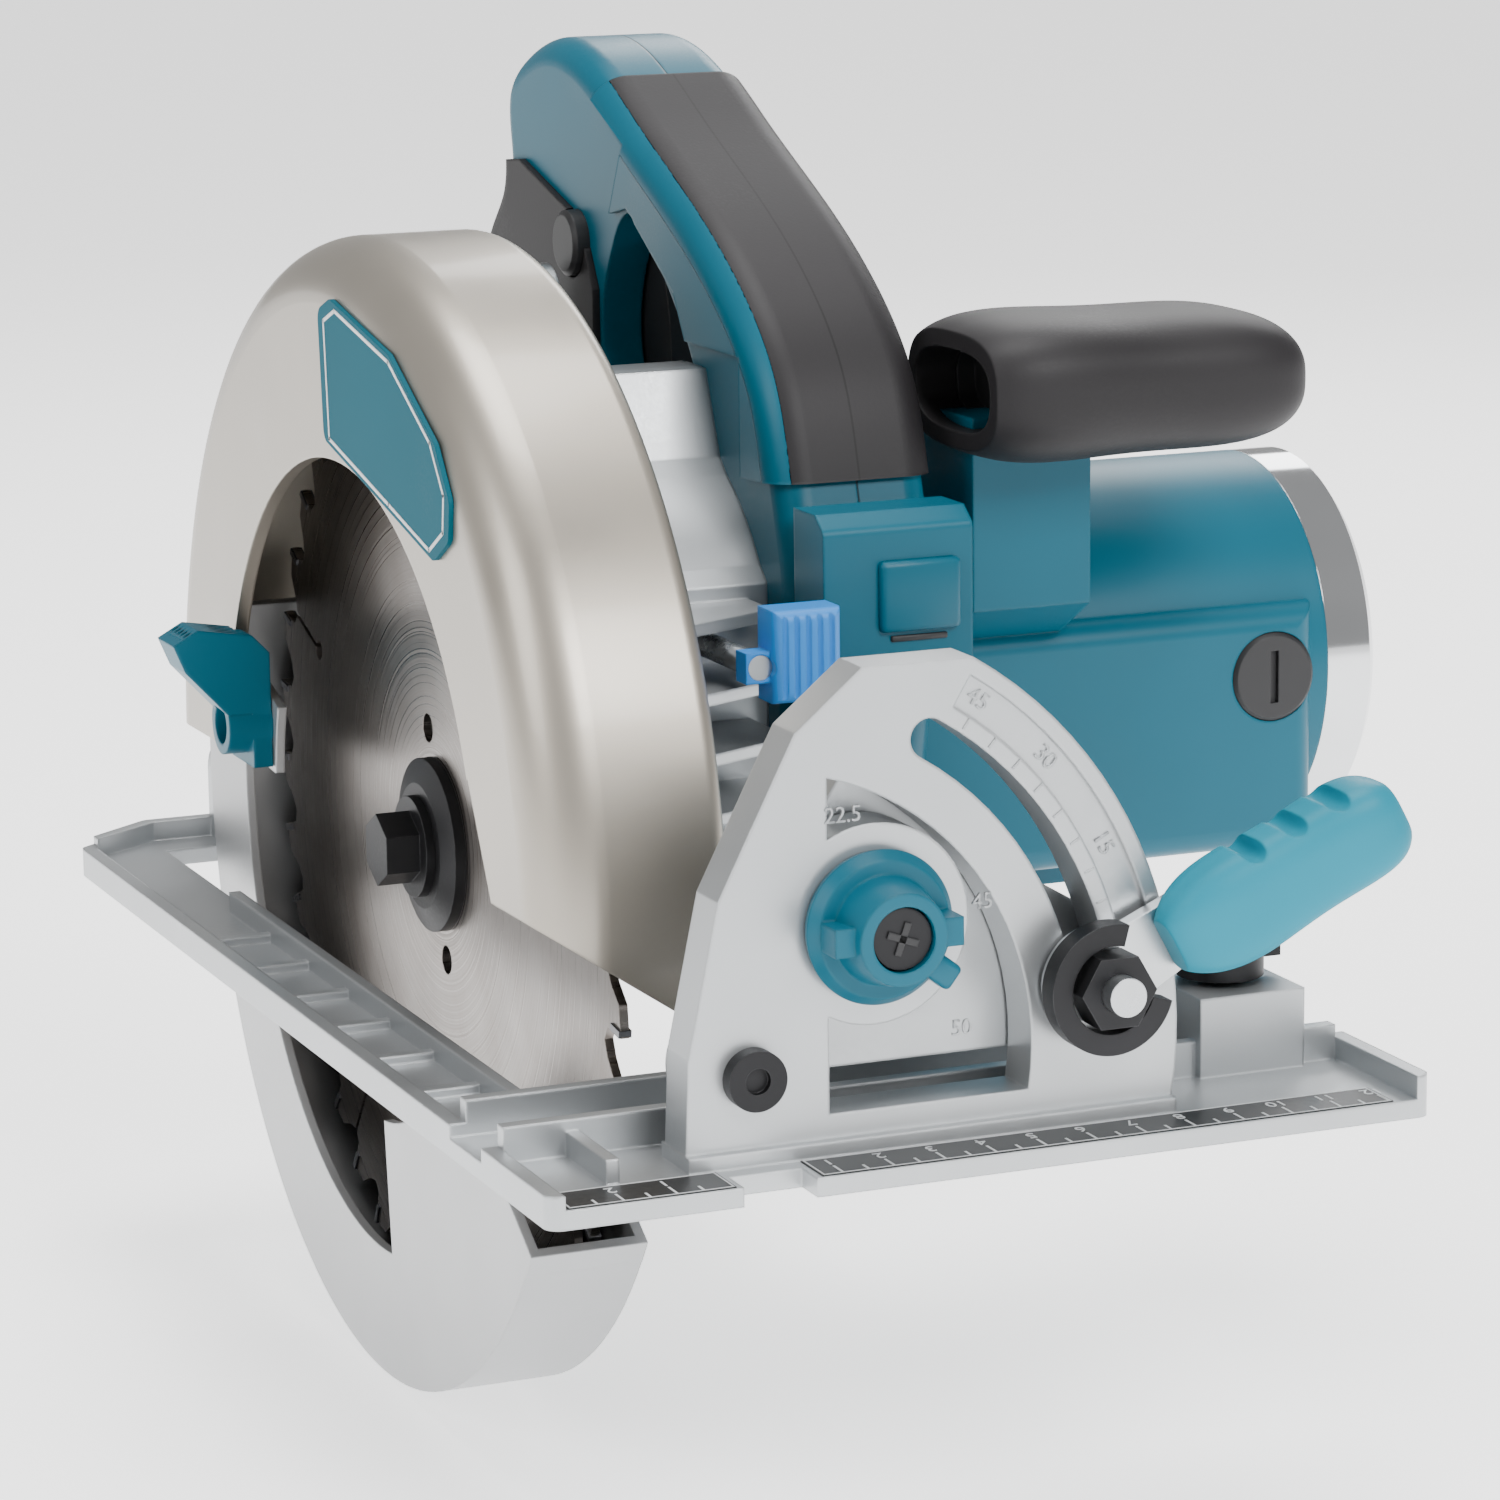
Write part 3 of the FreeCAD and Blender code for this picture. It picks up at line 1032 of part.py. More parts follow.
def fan_shape():
    my, mz = motor
    x, width = float(D.fan_left), float(D.fan_width)
    radius = float(D.fan_radius)
    disc = Part.makeCylinder(radius, 2.2, Vector(x, my, mz), Vector(1, 0, 0))
    hub = Part.makeCylinder(9.5, width, Vector(x, my, mz), Vector(1, 0, 0))
    blades = []
    for k in range(13):
        vane = block((x + 1, my + 14, mz - 0.9), (x + width, my + radius - 1, mz + 0.9))
        vane.rotate(Vector(x, my + 14, mz), Vector(1, 0, 0), 28)
        vane = vane.common(Part.makeCylinder(radius, width, Vector(x, my, mz), Vector(1, 0, 0)))
        vane.rotate(Vector(0, my, mz), Vector(1, 0, 0), 360 * k / 13)
        blades.append(vane)
    fan = disc.fuse([hub] + blades)
    r = float(D.motor_shaft_radius)
    return fan.cut(round_bar(r, (x - 1, my, mz), (x + width + 1, my, mz))).removeSplitter()


# ---------------------------------------------------------------- motor housing
def make_motor_housing():
    my, mz = motor
    x0, x1 = float(D.motor_left), float(D.motor_right)
    r, wall = float(D.motor_radius), float(D.motor_wall)
    front = float(D.motor_box_front)
    barrel = Part.makeCylinder(r, x1 - x0, Vector(x0, my, mz), Vector(1, 0, 0))
    chest = block((x0, front, mz - 37), (x1 - 4, my, float(D.motor_box_top)))
    edges = [e for e in chest.Edges if e.CenterOfMass.y < front + 0.1 and e.Length > 50]
    chest = chest.makeFillet(5, edges)
    side = [e for e in chest.Edges if abs(e.CenterOfMass.x - x1 + 4) < 0.1
            and e.CenterOfMass.y < front + 0.1 and e.Length > 20]
    chest = chest.makeFillet(4, side) if side else chest
    bottom = block((x0, my - 30, mz - 42.5), (x0 + 55, my + 30, mz - 30))
    body = barrel.fuse([chest, bottom])
    post = front_post_shape()
    body = body.fuse(post)
    body = body.cut(Part.makeCylinder(r - wall, x1 - x0 + 2, Vector(x0 - 1, my, mz),
                                      Vector(1, 0, 0)))
    bx = float(D.brush_x)
    cap = float(D.cap_radius)
    tools = [round_bar(cap + 0.1, (bx, front - 2, mz), (bx, front + 6, mz)),
             round_bar(7, (bx, front + 5, mz), (bx, my - 30, mz)),
             round_bar(cap + 0.1, (bx, my + r + 2, mz), (bx, my + r - 2.2, mz)),
             round_bar(7, (bx, my + r + 1, mz), (bx, my + 30, mz))]
    for k in range(5):
        for angle in (238, 302):
            dy, dz = polar(r - 1, angle)
            tools.append(block((x1 - 14 - 7 * k, my + dy - 9, mz + dz - 5),
                               (x1 - 11 - 7 * k, my + dy + 9, mz + dz + 5)))
    body = body.cut(tools)
    cover_room = block((x0 - 1, front - 1, mz - 50), (x0, front + 1, mz))
    node("motor_housing", shaped("motor_housing_shell", body.cut(cover_room).removeSplitter()))


def front_post_shape():
    """The pedestal that carries the front grip, with the bar inside the grip."""
    my, mz = motor
    x0, w = float(D.post_left), float(D.post_width)
    front = float(D.post_front)
    z = float(D.grip_height)
    outline = [(front, 79), (front, z - 6), (front + 27, z - 6), (my - 12, mz + 39), (my - 36, mz + 10),
               (my - 44, 72)]
    return yz_face(outline, x0).extrude(Vector(w, 0, 0))


def make_motor_parts():
    my, mz = motor_y, motor_z
    inside = D.motor_radius - D.motor_wall
    x = D.core_left
    end = x + D.core_length
    node("stator", ring("stator_stack", inside, D.stator_bore, D.core_length, (x, my, mz)))
    node("field_coils", fuse("coils", [
        ring("coil_left", inside - 3, D.stator_bore + 3, 6, (x - 6, my, mz)),
        ring("coil_right", inside - 3, D.stator_bore + 3, 8, (end, my, mz))]))
    bx = D.brush_x
    half = D.brush_width / 2
    front = D.motor_box_front
    com = D.commutator_radius + 0.15
    groups = {"carbon_brushes": [], "brush_holders": [], "brush_caps": []}
    for side, sign, face in (("front", -1, front), ("rear", 1, my + D.motor_radius)):
        near = my + sign * com
        far = my + sign * 30
        low_y, high_y = (far, near) if sign < 0 else (near, far)
        groups["carbon_brushes"].append(box("brush_block_" + side, (bx - half, low_y, mz - 3.2),
                                            (bx + half, high_y, mz + 3.2)))
        tube_near = my + sign * 17
        tube_far = my + sign * 36
        low_y, high_y = (tube_far, tube_near) if sign < 0 else (tube_near, tube_far)
        holder = box("holder_stock_" + side, (bx - half - 2.4, low_y, mz - 6.2),
                     (bx + half + 2.4, high_y, mz + 6.2))
        bore = box("holder_bore_" + side, (bx - half - 0.05, low_y - 1, mz - 3.25),
                   (bx + half + 0.05, high_y + 1, mz + 3.25))
        groups["brush_holders"].append(cut("holder_" + side, holder, [bore]))
        axis = "Y" if sign < 0 else "-Y"
        disc = lathe("cap_" + side, (bx, face + sign * 0.6, mz), [
            (0, 0), (0, 8.6), (0.8, D.cap_radius), (2.7, D.cap_radius), (2.7, 0)], axis)
        slot_low = face + sign * 0.7 if sign < 0 else face - 0.6
        slot = box("cap_slot_" + side, (bx - 0.9, slot_low, mz - 5.5),
                   (bx + 0.9, slot_low + 1.3, mz + 5.5))
        groups["brush_caps"].append(cut("cap_slotted_" + side, disc, [slot]))
    for name, pieces in groups.items():
        node(name, fuse(name + "_pair", pieces))
    r = D.motor_radius
    x1 = D.motor_right
    pocket = D.small_bearing_radius
    node("motor_end_cover", lathe("end_cover", (0, my, mz), [
        (x1, r - 3), (x1, r), (motor_end - 2, r), (motor_end, r - 2.4), (motor_end, 0),
        (rear_bearing_left + D.small_bearing_width, 0),
        (rear_bearing_left + D.small_bearing_width, pocket), (x1 + 0.8, pocket),
        (x1 + 0.8, pocket + 3), (motor_end - 4, pocket + 3.4), (motor_end - 4, r - 3)]))
    screws = []
    for k in range(4):
        dy, dz = polar(float(r) - 9, 45 + 90 * k)
        a = (float(motor_end) - 4.6, motor[0] + dy, motor[1] + dz)
        b = (float(motor_end) + 1.4, motor[0] + dy, motor[1] + dz)
        screws.append((a, b))
    heads = [round_bar(3.6, (b[0] - 1.4, b[1], b[2]), b) for a, b in screws]
    for (a, b), head in zip(screws, heads):
        socket = round_bar(1.6, (b[0] - 0.9, b[1], b[2]), (b[0] + 1, b[1], b[2]))
        heads[heads.index(head)] = head.cut(socket)
    node("end_cover_screws", shaped("end_screws", Part.makeCompound(heads)))


# ---------------------------------------------------------------- handle
HANDLE = [(113, 16), (102, 34), (96, 54), (93, 74), (93, 90), (97, 104), (105, 126), (122, 143),
          (140, 154), (178, 172), (208, 185), (226, 187), (242, 183), (253, 175), (254, 166),
          (253, 156), (262, 145), (269, 132), (270, 118), (265, 104), (252, 90), (236, 76),
          (218, 60), (206, 44), (200, 28), (190, 17), (156, 12.5), (128, 12.5)]
HAND_HOLE = [(172, 153), (155, 139), (142, 124), (138, 112), (141, 103), (150, 100), (172, 102),
             (186, 110), (194, 122), (194, 134), (188, 146), (181, 153)]


def handle_points(points):
    my, mz = motor
    return [(y - 155.76 + my, z - 57.34 + mz) for y, z in points]


def handle_solid(outer_offset, hole_offset, x0, x1):
    """The handle's side view between two planes, grown or shrunk all round."""
    outer = yz_smooth_face(handle_points(HANDLE), x0, outer_offset)
    hole = yz_smooth_face(handle_points(HAND_HOLE), x0, hole_offset)
    span = Vector(x1 - x0, 0, 0)
    return outer.extrude(span), hole.extrude(span)


def handle_half(x_outer, x_seam):
    """One moulded half shell, rounded on the outside, hollow on the seam side."""
    low, high = min(x_outer, x_seam), max(x_outer, x_seam)
    outer, hole = handle_solid(0, 0, low, high)
    rim = [e for e in outer.Edges if abs(e.CenterOfMass.x - x_outer) < 0.01
           and abs(e.Vertexes[0].Point.x - x_outer) < 0.01]
    outer = outer.makeFillet(6.0, rim)
    hole_grown = hole
    wall = float(D.handle_wall)
    inside, hole_keep = handle_solid(-wall, wall, low + (wall if x_outer < x_seam else -1),
                                     high + (-wall if x_outer > x_seam else 1))
    shell = outer.cut(hole_grown).cut(inside.cut(hole_keep))
    my, mz = motor
    drum = Part.makeCylinder(float(D.fan_chamber) + wall, high - low, Vector(low, my, mz),
                             Vector(1, 0, 0))
    chamber = Part.makeCylinder(float(D.fan_chamber), high - low - wall,
                                Vector(low + (wall if x_outer < x_seam else 0), my, mz),
                                Vector(1, 0, 0))
    shell = shell.fuse(drum).cut(chamber)
    mouth = 14.0 if x_outer < x_seam else 33.0
    shell = shell.cut(round_bar(mouth, (low - 1, my, mz), (high + 1, my, mz)))
    for y, z in screw_places():
        post = round_bar(4.6, (low + wall * 0.5, y, z), (high - (wall * 0.5), y, z)).cut(hole_grown)
        if x_outer < x_seam:
            post = round_bar(4.6, (low + wall * 0.5, y, z), (high, y, z))
        else:
            post = round_bar(4.6, (low, y, z), (high - wall * 0.5, y, z))
        shell = shell.fuse(post)
        shell = shell.cut(round_bar(2.0, (max(low, x_outer + 2.5 if x_outer < x_seam else low - 1),
                                          y, z), (high + 1, y, z)))
        if x_outer > x_seam:
            shell = shell.cut(round_bar(4.0, (high - 6, y, z), (high + 1, y, z)))
    return shell


def screw_places():
    return handle_points([(103, 92), (120, 130), (228, 172), (255, 122), (205, 56), (106, 48)])


def make_handle():
    x0, seam, x1 = float(handle_left_x), float(D.handle_seam_x), float(handle_right_x)
    left = handle_half(x0, seam)
    right = handle_half(x1, seam)
    my, mz = motor
    width = float(D.trigger_width) + 2 * float(D.moving_gap)
    gate = yz_face(handle_points([(182, 108), (186, 151), (205, 156), (205, 106)]), seam - width / 2)
    gate = gate.extrude(Vector(width, 0, 0))
    lock = round_bar(D.lock_off_radius + FIT, (x0 - 2, *lock_off_place()),
                     (seam - 2, *lock_off_place()))
    gland = round_bar(9.65, (seam, my + 96, mz + 19.4), (seam, my + 60, mz + 40))
    front = lock_rod_room()
    left = left.cut([gate, lock, gland, front])
    right = right.cut([gate, gland])
    node("handle_left", shaped("handle_left_shell", left.removeSplitter()))
    node("handle_right", shaped("handle_right_shell", right.removeSplitter()))
    screws = []
    for y, z in screw_places():
        screws.append(round_bar(3.6, (x1 - 6, y, z), (x1 - 3.4, y, z)).fuse(
            round_bar(1.9, (x0 + 3, y, z), (x1 - 5.9, y, z))))
    node("handle_screws", shaped("handle_screw_set", Part.makeCompound(screws)))
    make_grip_skins(x0, seam, x1)


def lock_off_place():
    return motor[0] + 52.4, motor[1] + 87.5


def lock_rod_room():
    x = float(D.lock_x)
    return round_bar(5, (x, 60, float(D.lock_rod_height)), (x, 80, float(D.lock_rod_height)))


GRIP_FRONT = [(104, 121), (112, 135), (126, 146), (150, 158), (190, 177), (196, 168), (176, 158),
              (160, 148), (146, 134), (138, 120), (132, 108), (108, 108)]


def make_grip_skins(x0, seam, x1):
    """Soft covers wrapped over the front bar and over the rear leg."""
    skin = float(D.grip_depth)
    outer, hole = handle_solid(skin, 0, x0 - skin, x1 + skin)
    rim = [e for e in outer.Edges if len(e.Vertexes) and
           (abs(e.Vertexes[0].Point.x - x0 + skin) < 0.01
            or abs(e.Vertexes[0].Point.x - x1 - skin) < 0.01)
           and abs(e.CenterOfMass.x - e.Vertexes[0].Point.x) < 0.01]
    outer = outer.makeFillet(6.0 + skin, rim)
    core, core_hole = handle_solid(0, 0, x0, x1)
    core_rim = [e for e in core.Edges if abs(e.CenterOfMass.x - e.Vertexes[0].Point.x) < 0.01
                and (abs(e.Vertexes[0].Point.x - x0) < 0.01
                     or abs(e.Vertexes[0].Point.x - x1) < 0.01)]
    core = core.makeFillet(6.0, core_rim)
    zone = yz_face(handle_points([(96, 108), (100, 128), (116, 150), (150, 170), (188, 188),
                                  (196, 176), (178, 168), (186, 153), (176, 155), (150, 140),
                                  (136, 118), (136, 106)]), x0 - 5).extrude(
        Vector(x1 - x0 + 10, 0, 0))
    beside_housing = block((x0 - 5, motor[0] - 40, 90), (x0 + 0.05, motor[0], 131))
    node("grip_cover_front", shaped("front_cover_skin", outer.common(zone).cut(hole).cut(core).cut(
        beside_housing)))
    zone = yz_face(handle_points([(196, 96), (196, 136), (204, 150), (240, 160), (262, 158),
                                  (280, 140), (284, 112), (262, 84), (232, 66)]), x0 - 5).extrude(
        Vector(x1 - x0 + 10, 0, 0))
    rear = outer.common(zone).cut(core)
    middle = block((x0 + 8, motor[0] + 30, 60), (x1 - 8, motor[0] + 52, 220))
    gland = round_bar(10, (seam, motor[0] + 96, motor[1] + 20), (seam, motor[0] + 60,
                                                                 motor[1] + 42))
    button = round_bar(D.lock_off_radius + 0.4, (x0 - 5, *lock_off_place()),
                       (x0 + 5, *lock_off_place()))
    node("grip_cover_rear", shaped("rear_cover_skin", rear.cut(middle).cut(gland).cut(button)))


def make_trigger_and_switch():
    seam = float(D.handle_seam_x)
    half = float(D.trigger_width) / 2
    profile = handle_points([(188, 149), (183, 142), (180, 130), (179, 120), (182, 112),
                             (188, 113), (199, 121), (203, 134), (201, 147), (195, 152)])
    body = yz_face(profile, seam - half).extrude(Vector(2 * half, 0, 0))
    py, pz = handle_points([(194, 147)])[0]
    body = body.fuse(round_bar(1.5, (seam - half - 3, py, pz), (seam + half + 3, py, pz)))
    node("trigger", shaped("trigger_lever", body))
    sy, sz = handle_points([(210, 104)])[0]
    node("switch_body", shaped("switch_case", block((seam - 9, sy, sz), (seam + 9, sy + 30,
                                                                         sz + 34))))
    by, bz = lock_off_place()
    r = D.lock_off_radius
    node("lock_off_button", lathe("lock_off", (D.handle_seam_x - D.handle_half - 3.6, by, bz), [
        (0, 0), (0, r - 1.0), (0.8, r), (9.0, r), (9.0, 0)]))
    gy, gz = handle_points([(244, 81)])[0]
    direction = Vector(0, math.cos(math.radians(-30)), math.sin(math.radians(-30)))
    start = Vector(seam, gy - 14 * direction.y, gz - 14 * direction.z)
    gland = Part.makeCylinder(8.4, 32, start, direction)
    gland = gland.fuse(Part.makeCylinder(9.4, 10, start + direction * 17, direction))
    gland = gland.cut(Part.makeCylinder(4.2, 14, start + direction * 20, direction))
    node("cord_gland", shaped("cord_inlet", gland))


# ---------------------------------------------------------------- front grip and lock
def make_front_grip():
    x0 = float(D.grip_left)
    length = float(D.grip_length)
    y, z = float(D.grip_y), float(D.grip_height)
    half_y, half_z = float(D.grip_span_y) / 2, float(D.grip_span_z) / 2

    def section(x, grow_y, grow_z):
        frame = [Vector(x, y, z), Vector(0, 1, 0), Vector(0, 0, 1)]
        return superellipse(frame, half_y + grow_y, half_z + grow_z, 0.68)

    wires = [section(x0, -4.0, -3.0), section(x0 + 5, -1.4, -1.0), section(x0 + 22, 0, 0),
             section(x0 + length - 18, -0.6, -0.6), section(x0 + length - 5, -3, -3),
             section(x0 + length, -8, -7)]
    barrel = Part.makeLoft(wires, True, False)
    skin = float(D.grip_skin)
    core_length = 52.0
    frame = [Vector(x0 + 9, y, z), Vector(0, 1, 0), Vector(0, 0, 1)]
    mouth = Part.Face(superellipse([Vector(x0 - 1, y, z), Vector(0, 1, 0), Vector(0, 0, 1)],
                                   half_y - skin - 3.4, half_z - skin - 2.4, 0.7))
    opening = mouth.extrude(Vector(10, 0, 0))
    core_face = Part.Face(superellipse(frame, half_y - skin - 1.5, half_z - skin - 1.0, 0.7))
    core = core_face.extrude(Vector(core_length, 0, 0))
    post = front_post_shape()
    sleeve = barrel.cut(opening).cut(core).cut(post)
    node("front_grip_sleeve", shaped("front_grip_rubber", sleeve))
    hollow = Part.Face(superellipse([Vector(x0 + 8, y, z), Vector(0, 1, 0), Vector(0, 0, 1)],
                                    half_y - skin - 4, half_z - skin - 3.4, 0.7))
    core = core.cut(hollow.extrude(Vector(5, 0, 0))).cut(post)
    node("front_grip_core", shaped("front_grip_frame", core))


def make_front_cover():
    """The moulded block between the handle and the motor, beside the shaft lock."""
    x0 = float(handle_left_x)
    my, mz = motor
    x1 = float(D.motor_left) - 0.4
    outline = [(my - 78, mz + 12), (my - 78, mz + 44), (my - 74, mz + 47), (my - 63.5, mz + 47),
               (my - 63.5, mz + 12)]
    body = yz_face(outline, x0).extrude(Vector(x1 - x0, 0, 0))
    long_edges = [e for e in body.Edges if abs(e.Length - (x1 - x0)) < 1e-6
                  and e.CenterOfMass.y < my - 77]
    body = body.makeFillet(2.0, long_edges)
    body = body.cut(handle_solid(0.05, 0, x0 - 1, x1 + 1)[0])
    node("front_cover", shaped("front_cover_block", body))


def make_shaft_lock():
    x, y, z = D.lock_x, D.lock_pad_y, D.lock_rod_height
    fx, fy, fz = float(x), float(y), float(z)
    pad = block((fx + 2, fy, fz - 7), (fx + 16, fy + 9, fz + 11))
    edges = [e for e in pad.Edges if e.CenterOfMass.y < fy + 0.1]
    pad = pad.makeFillet(2.4, edges)
    for i in range(5):
        pad = pad.cut(round_bar(0.55, (fx + 4 + 2.4 * i, fy, fz - 9), (fx + 4 + 2.4 * i, fy, fz + 13)))
    stem = block((fx - 3, fy + 3, fz - 3), (fx + 5, fy + 8, fz + 3))
    stock = pad.fuse(stem)
    radius = float(D.lock_rod_diameter) / 2
    node("shaft_lock_pad", shaped("lock_pad", stock.cut(
        round_bar(radius, (fx, fy + 1, fz), (fx, fy + 30, fz)))))
    tip = motor[0] - float(D.motor_shaft_radius) - 6.2 - float(D.lock_travel)
    node("shaft_lock_rod", shaped("lock_rod", round_bar(radius, (fx, fy + 3.2, fz),
                                                       (fx, min(tip, 128.0), fz))))


def make_key_clip():
    """Clip under the motor that holds the wrench of the blade bolt."""
    my, mz = motor
    x = float(D.motor_left)
    clip = block((x + 6, my - 40, mz - 47.4), (x + 34, my - 22, mz - 42.6))
    clip = clip.cut(round_bar(1.6, (x + 2, my - 33, mz - 45), (x + 40, my - 33, mz - 45)))
    node("key_clip", shaped("wrench_clip", clip))


def main():
    make_base_plate()
    make_base_small_parts()
    make_stop_knob()
    make_tilt_plate()
    make_tilt_small_parts()
    make_bevel_lever()
    make_depth_clamp()
    make_blade_case()
    make_badge()
    make_guard()
    make_guard_lever()
    make_spindle_group()
    make_gear_housing()
    make_retainer_and_bearings()
    make_armature_group()
    make_motor_housing()
    make_motor_parts()
    make_handle()
    make_trigger_and_switch()
    make_front_grip()
    make_front_cover()
    make_shaft_lock()
    make_key_clip()
    doc.recompute()
    os.makedirs("parts", exist_ok=True)
    for obj in doc.Objects:
        if "Invalid" in obj.State or "Error" in obj.State:
            raise RuntimeError("feature %s did not compute: %s" % (obj.Name, obj.State))
    for name, obj in NODES.items():
        if obj.Shape.isNull() or not obj.Shape.isValid():
            raise RuntimeError("node %s has no valid shape" % name)
        if not obj.Shape.Solids:
            raise RuntimeError("node %s holds no solid" % name)
        obj.Shape.exportStep("parts/%s.step" % name)


main()
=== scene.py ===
import bpy
import json
import math
from mathutils import Matrix, Vector


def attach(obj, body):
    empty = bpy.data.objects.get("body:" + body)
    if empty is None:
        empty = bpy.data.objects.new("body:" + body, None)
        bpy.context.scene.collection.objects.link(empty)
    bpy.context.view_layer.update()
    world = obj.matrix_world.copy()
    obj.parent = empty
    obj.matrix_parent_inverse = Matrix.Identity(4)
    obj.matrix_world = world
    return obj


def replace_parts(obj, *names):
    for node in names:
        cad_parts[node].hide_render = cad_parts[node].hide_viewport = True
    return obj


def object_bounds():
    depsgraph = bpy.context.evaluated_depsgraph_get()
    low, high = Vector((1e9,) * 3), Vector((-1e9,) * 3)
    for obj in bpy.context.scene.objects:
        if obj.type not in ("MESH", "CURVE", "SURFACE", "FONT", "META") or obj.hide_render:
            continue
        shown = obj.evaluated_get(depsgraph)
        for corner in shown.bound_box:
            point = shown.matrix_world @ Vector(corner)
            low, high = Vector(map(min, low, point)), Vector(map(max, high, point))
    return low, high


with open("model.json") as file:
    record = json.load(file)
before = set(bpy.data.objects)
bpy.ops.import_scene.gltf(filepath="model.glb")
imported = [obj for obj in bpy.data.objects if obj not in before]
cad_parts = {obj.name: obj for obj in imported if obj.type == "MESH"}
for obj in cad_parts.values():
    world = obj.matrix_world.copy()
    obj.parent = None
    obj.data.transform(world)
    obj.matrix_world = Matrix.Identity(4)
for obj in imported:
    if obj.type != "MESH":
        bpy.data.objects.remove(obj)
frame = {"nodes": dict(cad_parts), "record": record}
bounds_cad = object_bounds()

NODES = frame["nodes"]
MM = 0.001

# Places and sizes of the CAD that the added pieces follow, in mm.
ARBOR_Y, ARBOR_Z = 162.0, 28.0
BLADE_RADIUS, BLADE_TEETH = 105.0, 40
PIVOT_Z = 19.5
ARCH_FACE_Y = -4.0
KNOB_X, KNOB_Z = 24.0, 45.0
HANDLE_X = 66.0
BASE_FLOOR_Z = 3.6

ARBOR = Vector((0.0, ARBOR_Y, ARBOR_Z)) * MM


# ------------------------------------------------------------------ node helpers
def linear(code):
    """An sRGB hex colour as linear RGBA."""
    out = []
    for i in (1, 3, 5):
        c = int(code[i:i + 2], 16) / 255.0
        out.append(c / 12.92 if c <= 0.04045 else ((c + 0.055) / 1.055) ** 2.4)
    return (out[0], out[1], out[2], 1.0)


def add(tree, kind, settings=None, inputs=None):
    """Adds a shader node, sets its properties and sockets; a socket given as input is linked."""
    made = tree.nodes.new(kind)
    for key, value in (settings or {}).items():
        setattr(made, key, value)
    for key, value in (inputs or {}).items():
        if isinstance(value, bpy.types.NodeSocket):
            tree.links.new(value, made.inputs[key])
        else:
            made.inputs[key].default_value = value
    return made


def start(name):
    """A new material with its Principled shader."""
    mat = bpy.data.materials.new(name)
    mat.use_nodes = True
    tree = mat.node_tree
    tree.nodes.clear()
    shader = add(tree, "ShaderNodeBsdfPrincipled")
    output = add(tree, "ShaderNodeOutputMaterial")
    tree.links.new(shader.outputs[0], output.inputs[0])
    return mat, tree, shader


def coords(tree, stretch=(1, 1, 1)):
    where = add(tree, "ShaderNodeTexCoord").outputs["Object"]
    return add(tree, "ShaderNodeMapping", None, {"Vector": where, "Scale": stretch}).outputs[0]


def noise(tree, vector, size_mm, detail=3.0, roughness=0.55):
    """Noise whose blotches are about size_mm across."""
    return add(tree, "ShaderNodeTexNoise", None, {
        "Vector": vector, "Scale": 1000.0 / size_mm, "Detail": detail,
        "Roughness": roughness}).outputs[0]


def spread(tree, value, low, high):
    return add(tree, "ShaderNodeMapRange", None, {
        "Value": value, "From Min": 0.3, "From Max": 0.7, "To Min": low, "To Max": high}).outputs[0]


def mix(tree, factor, a, b, blend="MIX"):
    made = add(tree, "ShaderNodeMix", {"data_type": "RGBA", "blend_type": blend})
    for index, value in ((0, factor), (6, a), (7, b)):
        if isinstance(value, bpy.types.NodeSocket):
            tree.links.new(value, made.inputs[index])
        else:
            made.inputs[index].default_value = value
    return made.outputs[2]


def edges(tree, radius_mm):
    """1 on sharp outer edges, 0 on flats, and the softened normal."""
    soft = add(tree, "ShaderNodeBevel", {"samples": 4}, {"Radius": radius_mm * MM}).outputs[0]
    hard = add(tree, "ShaderNodeNewGeometry").outputs["Normal"]
    dot = add(tree, "ShaderNodeVectorMath", {"operation": "DOT_PRODUCT"}, {0: soft, 1: hard})
    mask = add(tree, "ShaderNodeMapRange", None, {
        "Value": dot.outputs["Value"], "From Min": 0.97, "From Max": 0.75, "To Min": 0.0,
        "To Max": 1.0})
    return mask.outputs[0], soft


def seam_line(tree, x_mm, width_mm=0.5):
    """1 on a thin line where two moulded halves meet at x_mm, 0 elsewhere."""
    where = add(tree, "ShaderNodeTexCoord").outputs["Object"]
    across = add(tree, "ShaderNodeSeparateXYZ", None, {0: where}).outputs[0]
    off = add(tree, "ShaderNodeMath", {"operation": "SUBTRACT"}, {
        0: across, 1: x_mm * MM}).outputs[0]
    away = add(tree, "ShaderNodeMath", {"operation": "ABSOLUTE"}, {0: off}).outputs[0]
    return add(tree, "ShaderNodeMapRange", None, {
        "Value": away, "From Min": 0.25 * width_mm * MM, "From Max": 0.6 * width_mm * MM,
        "To Min": 1.0, "To Max": 0.0}).outputs[0]


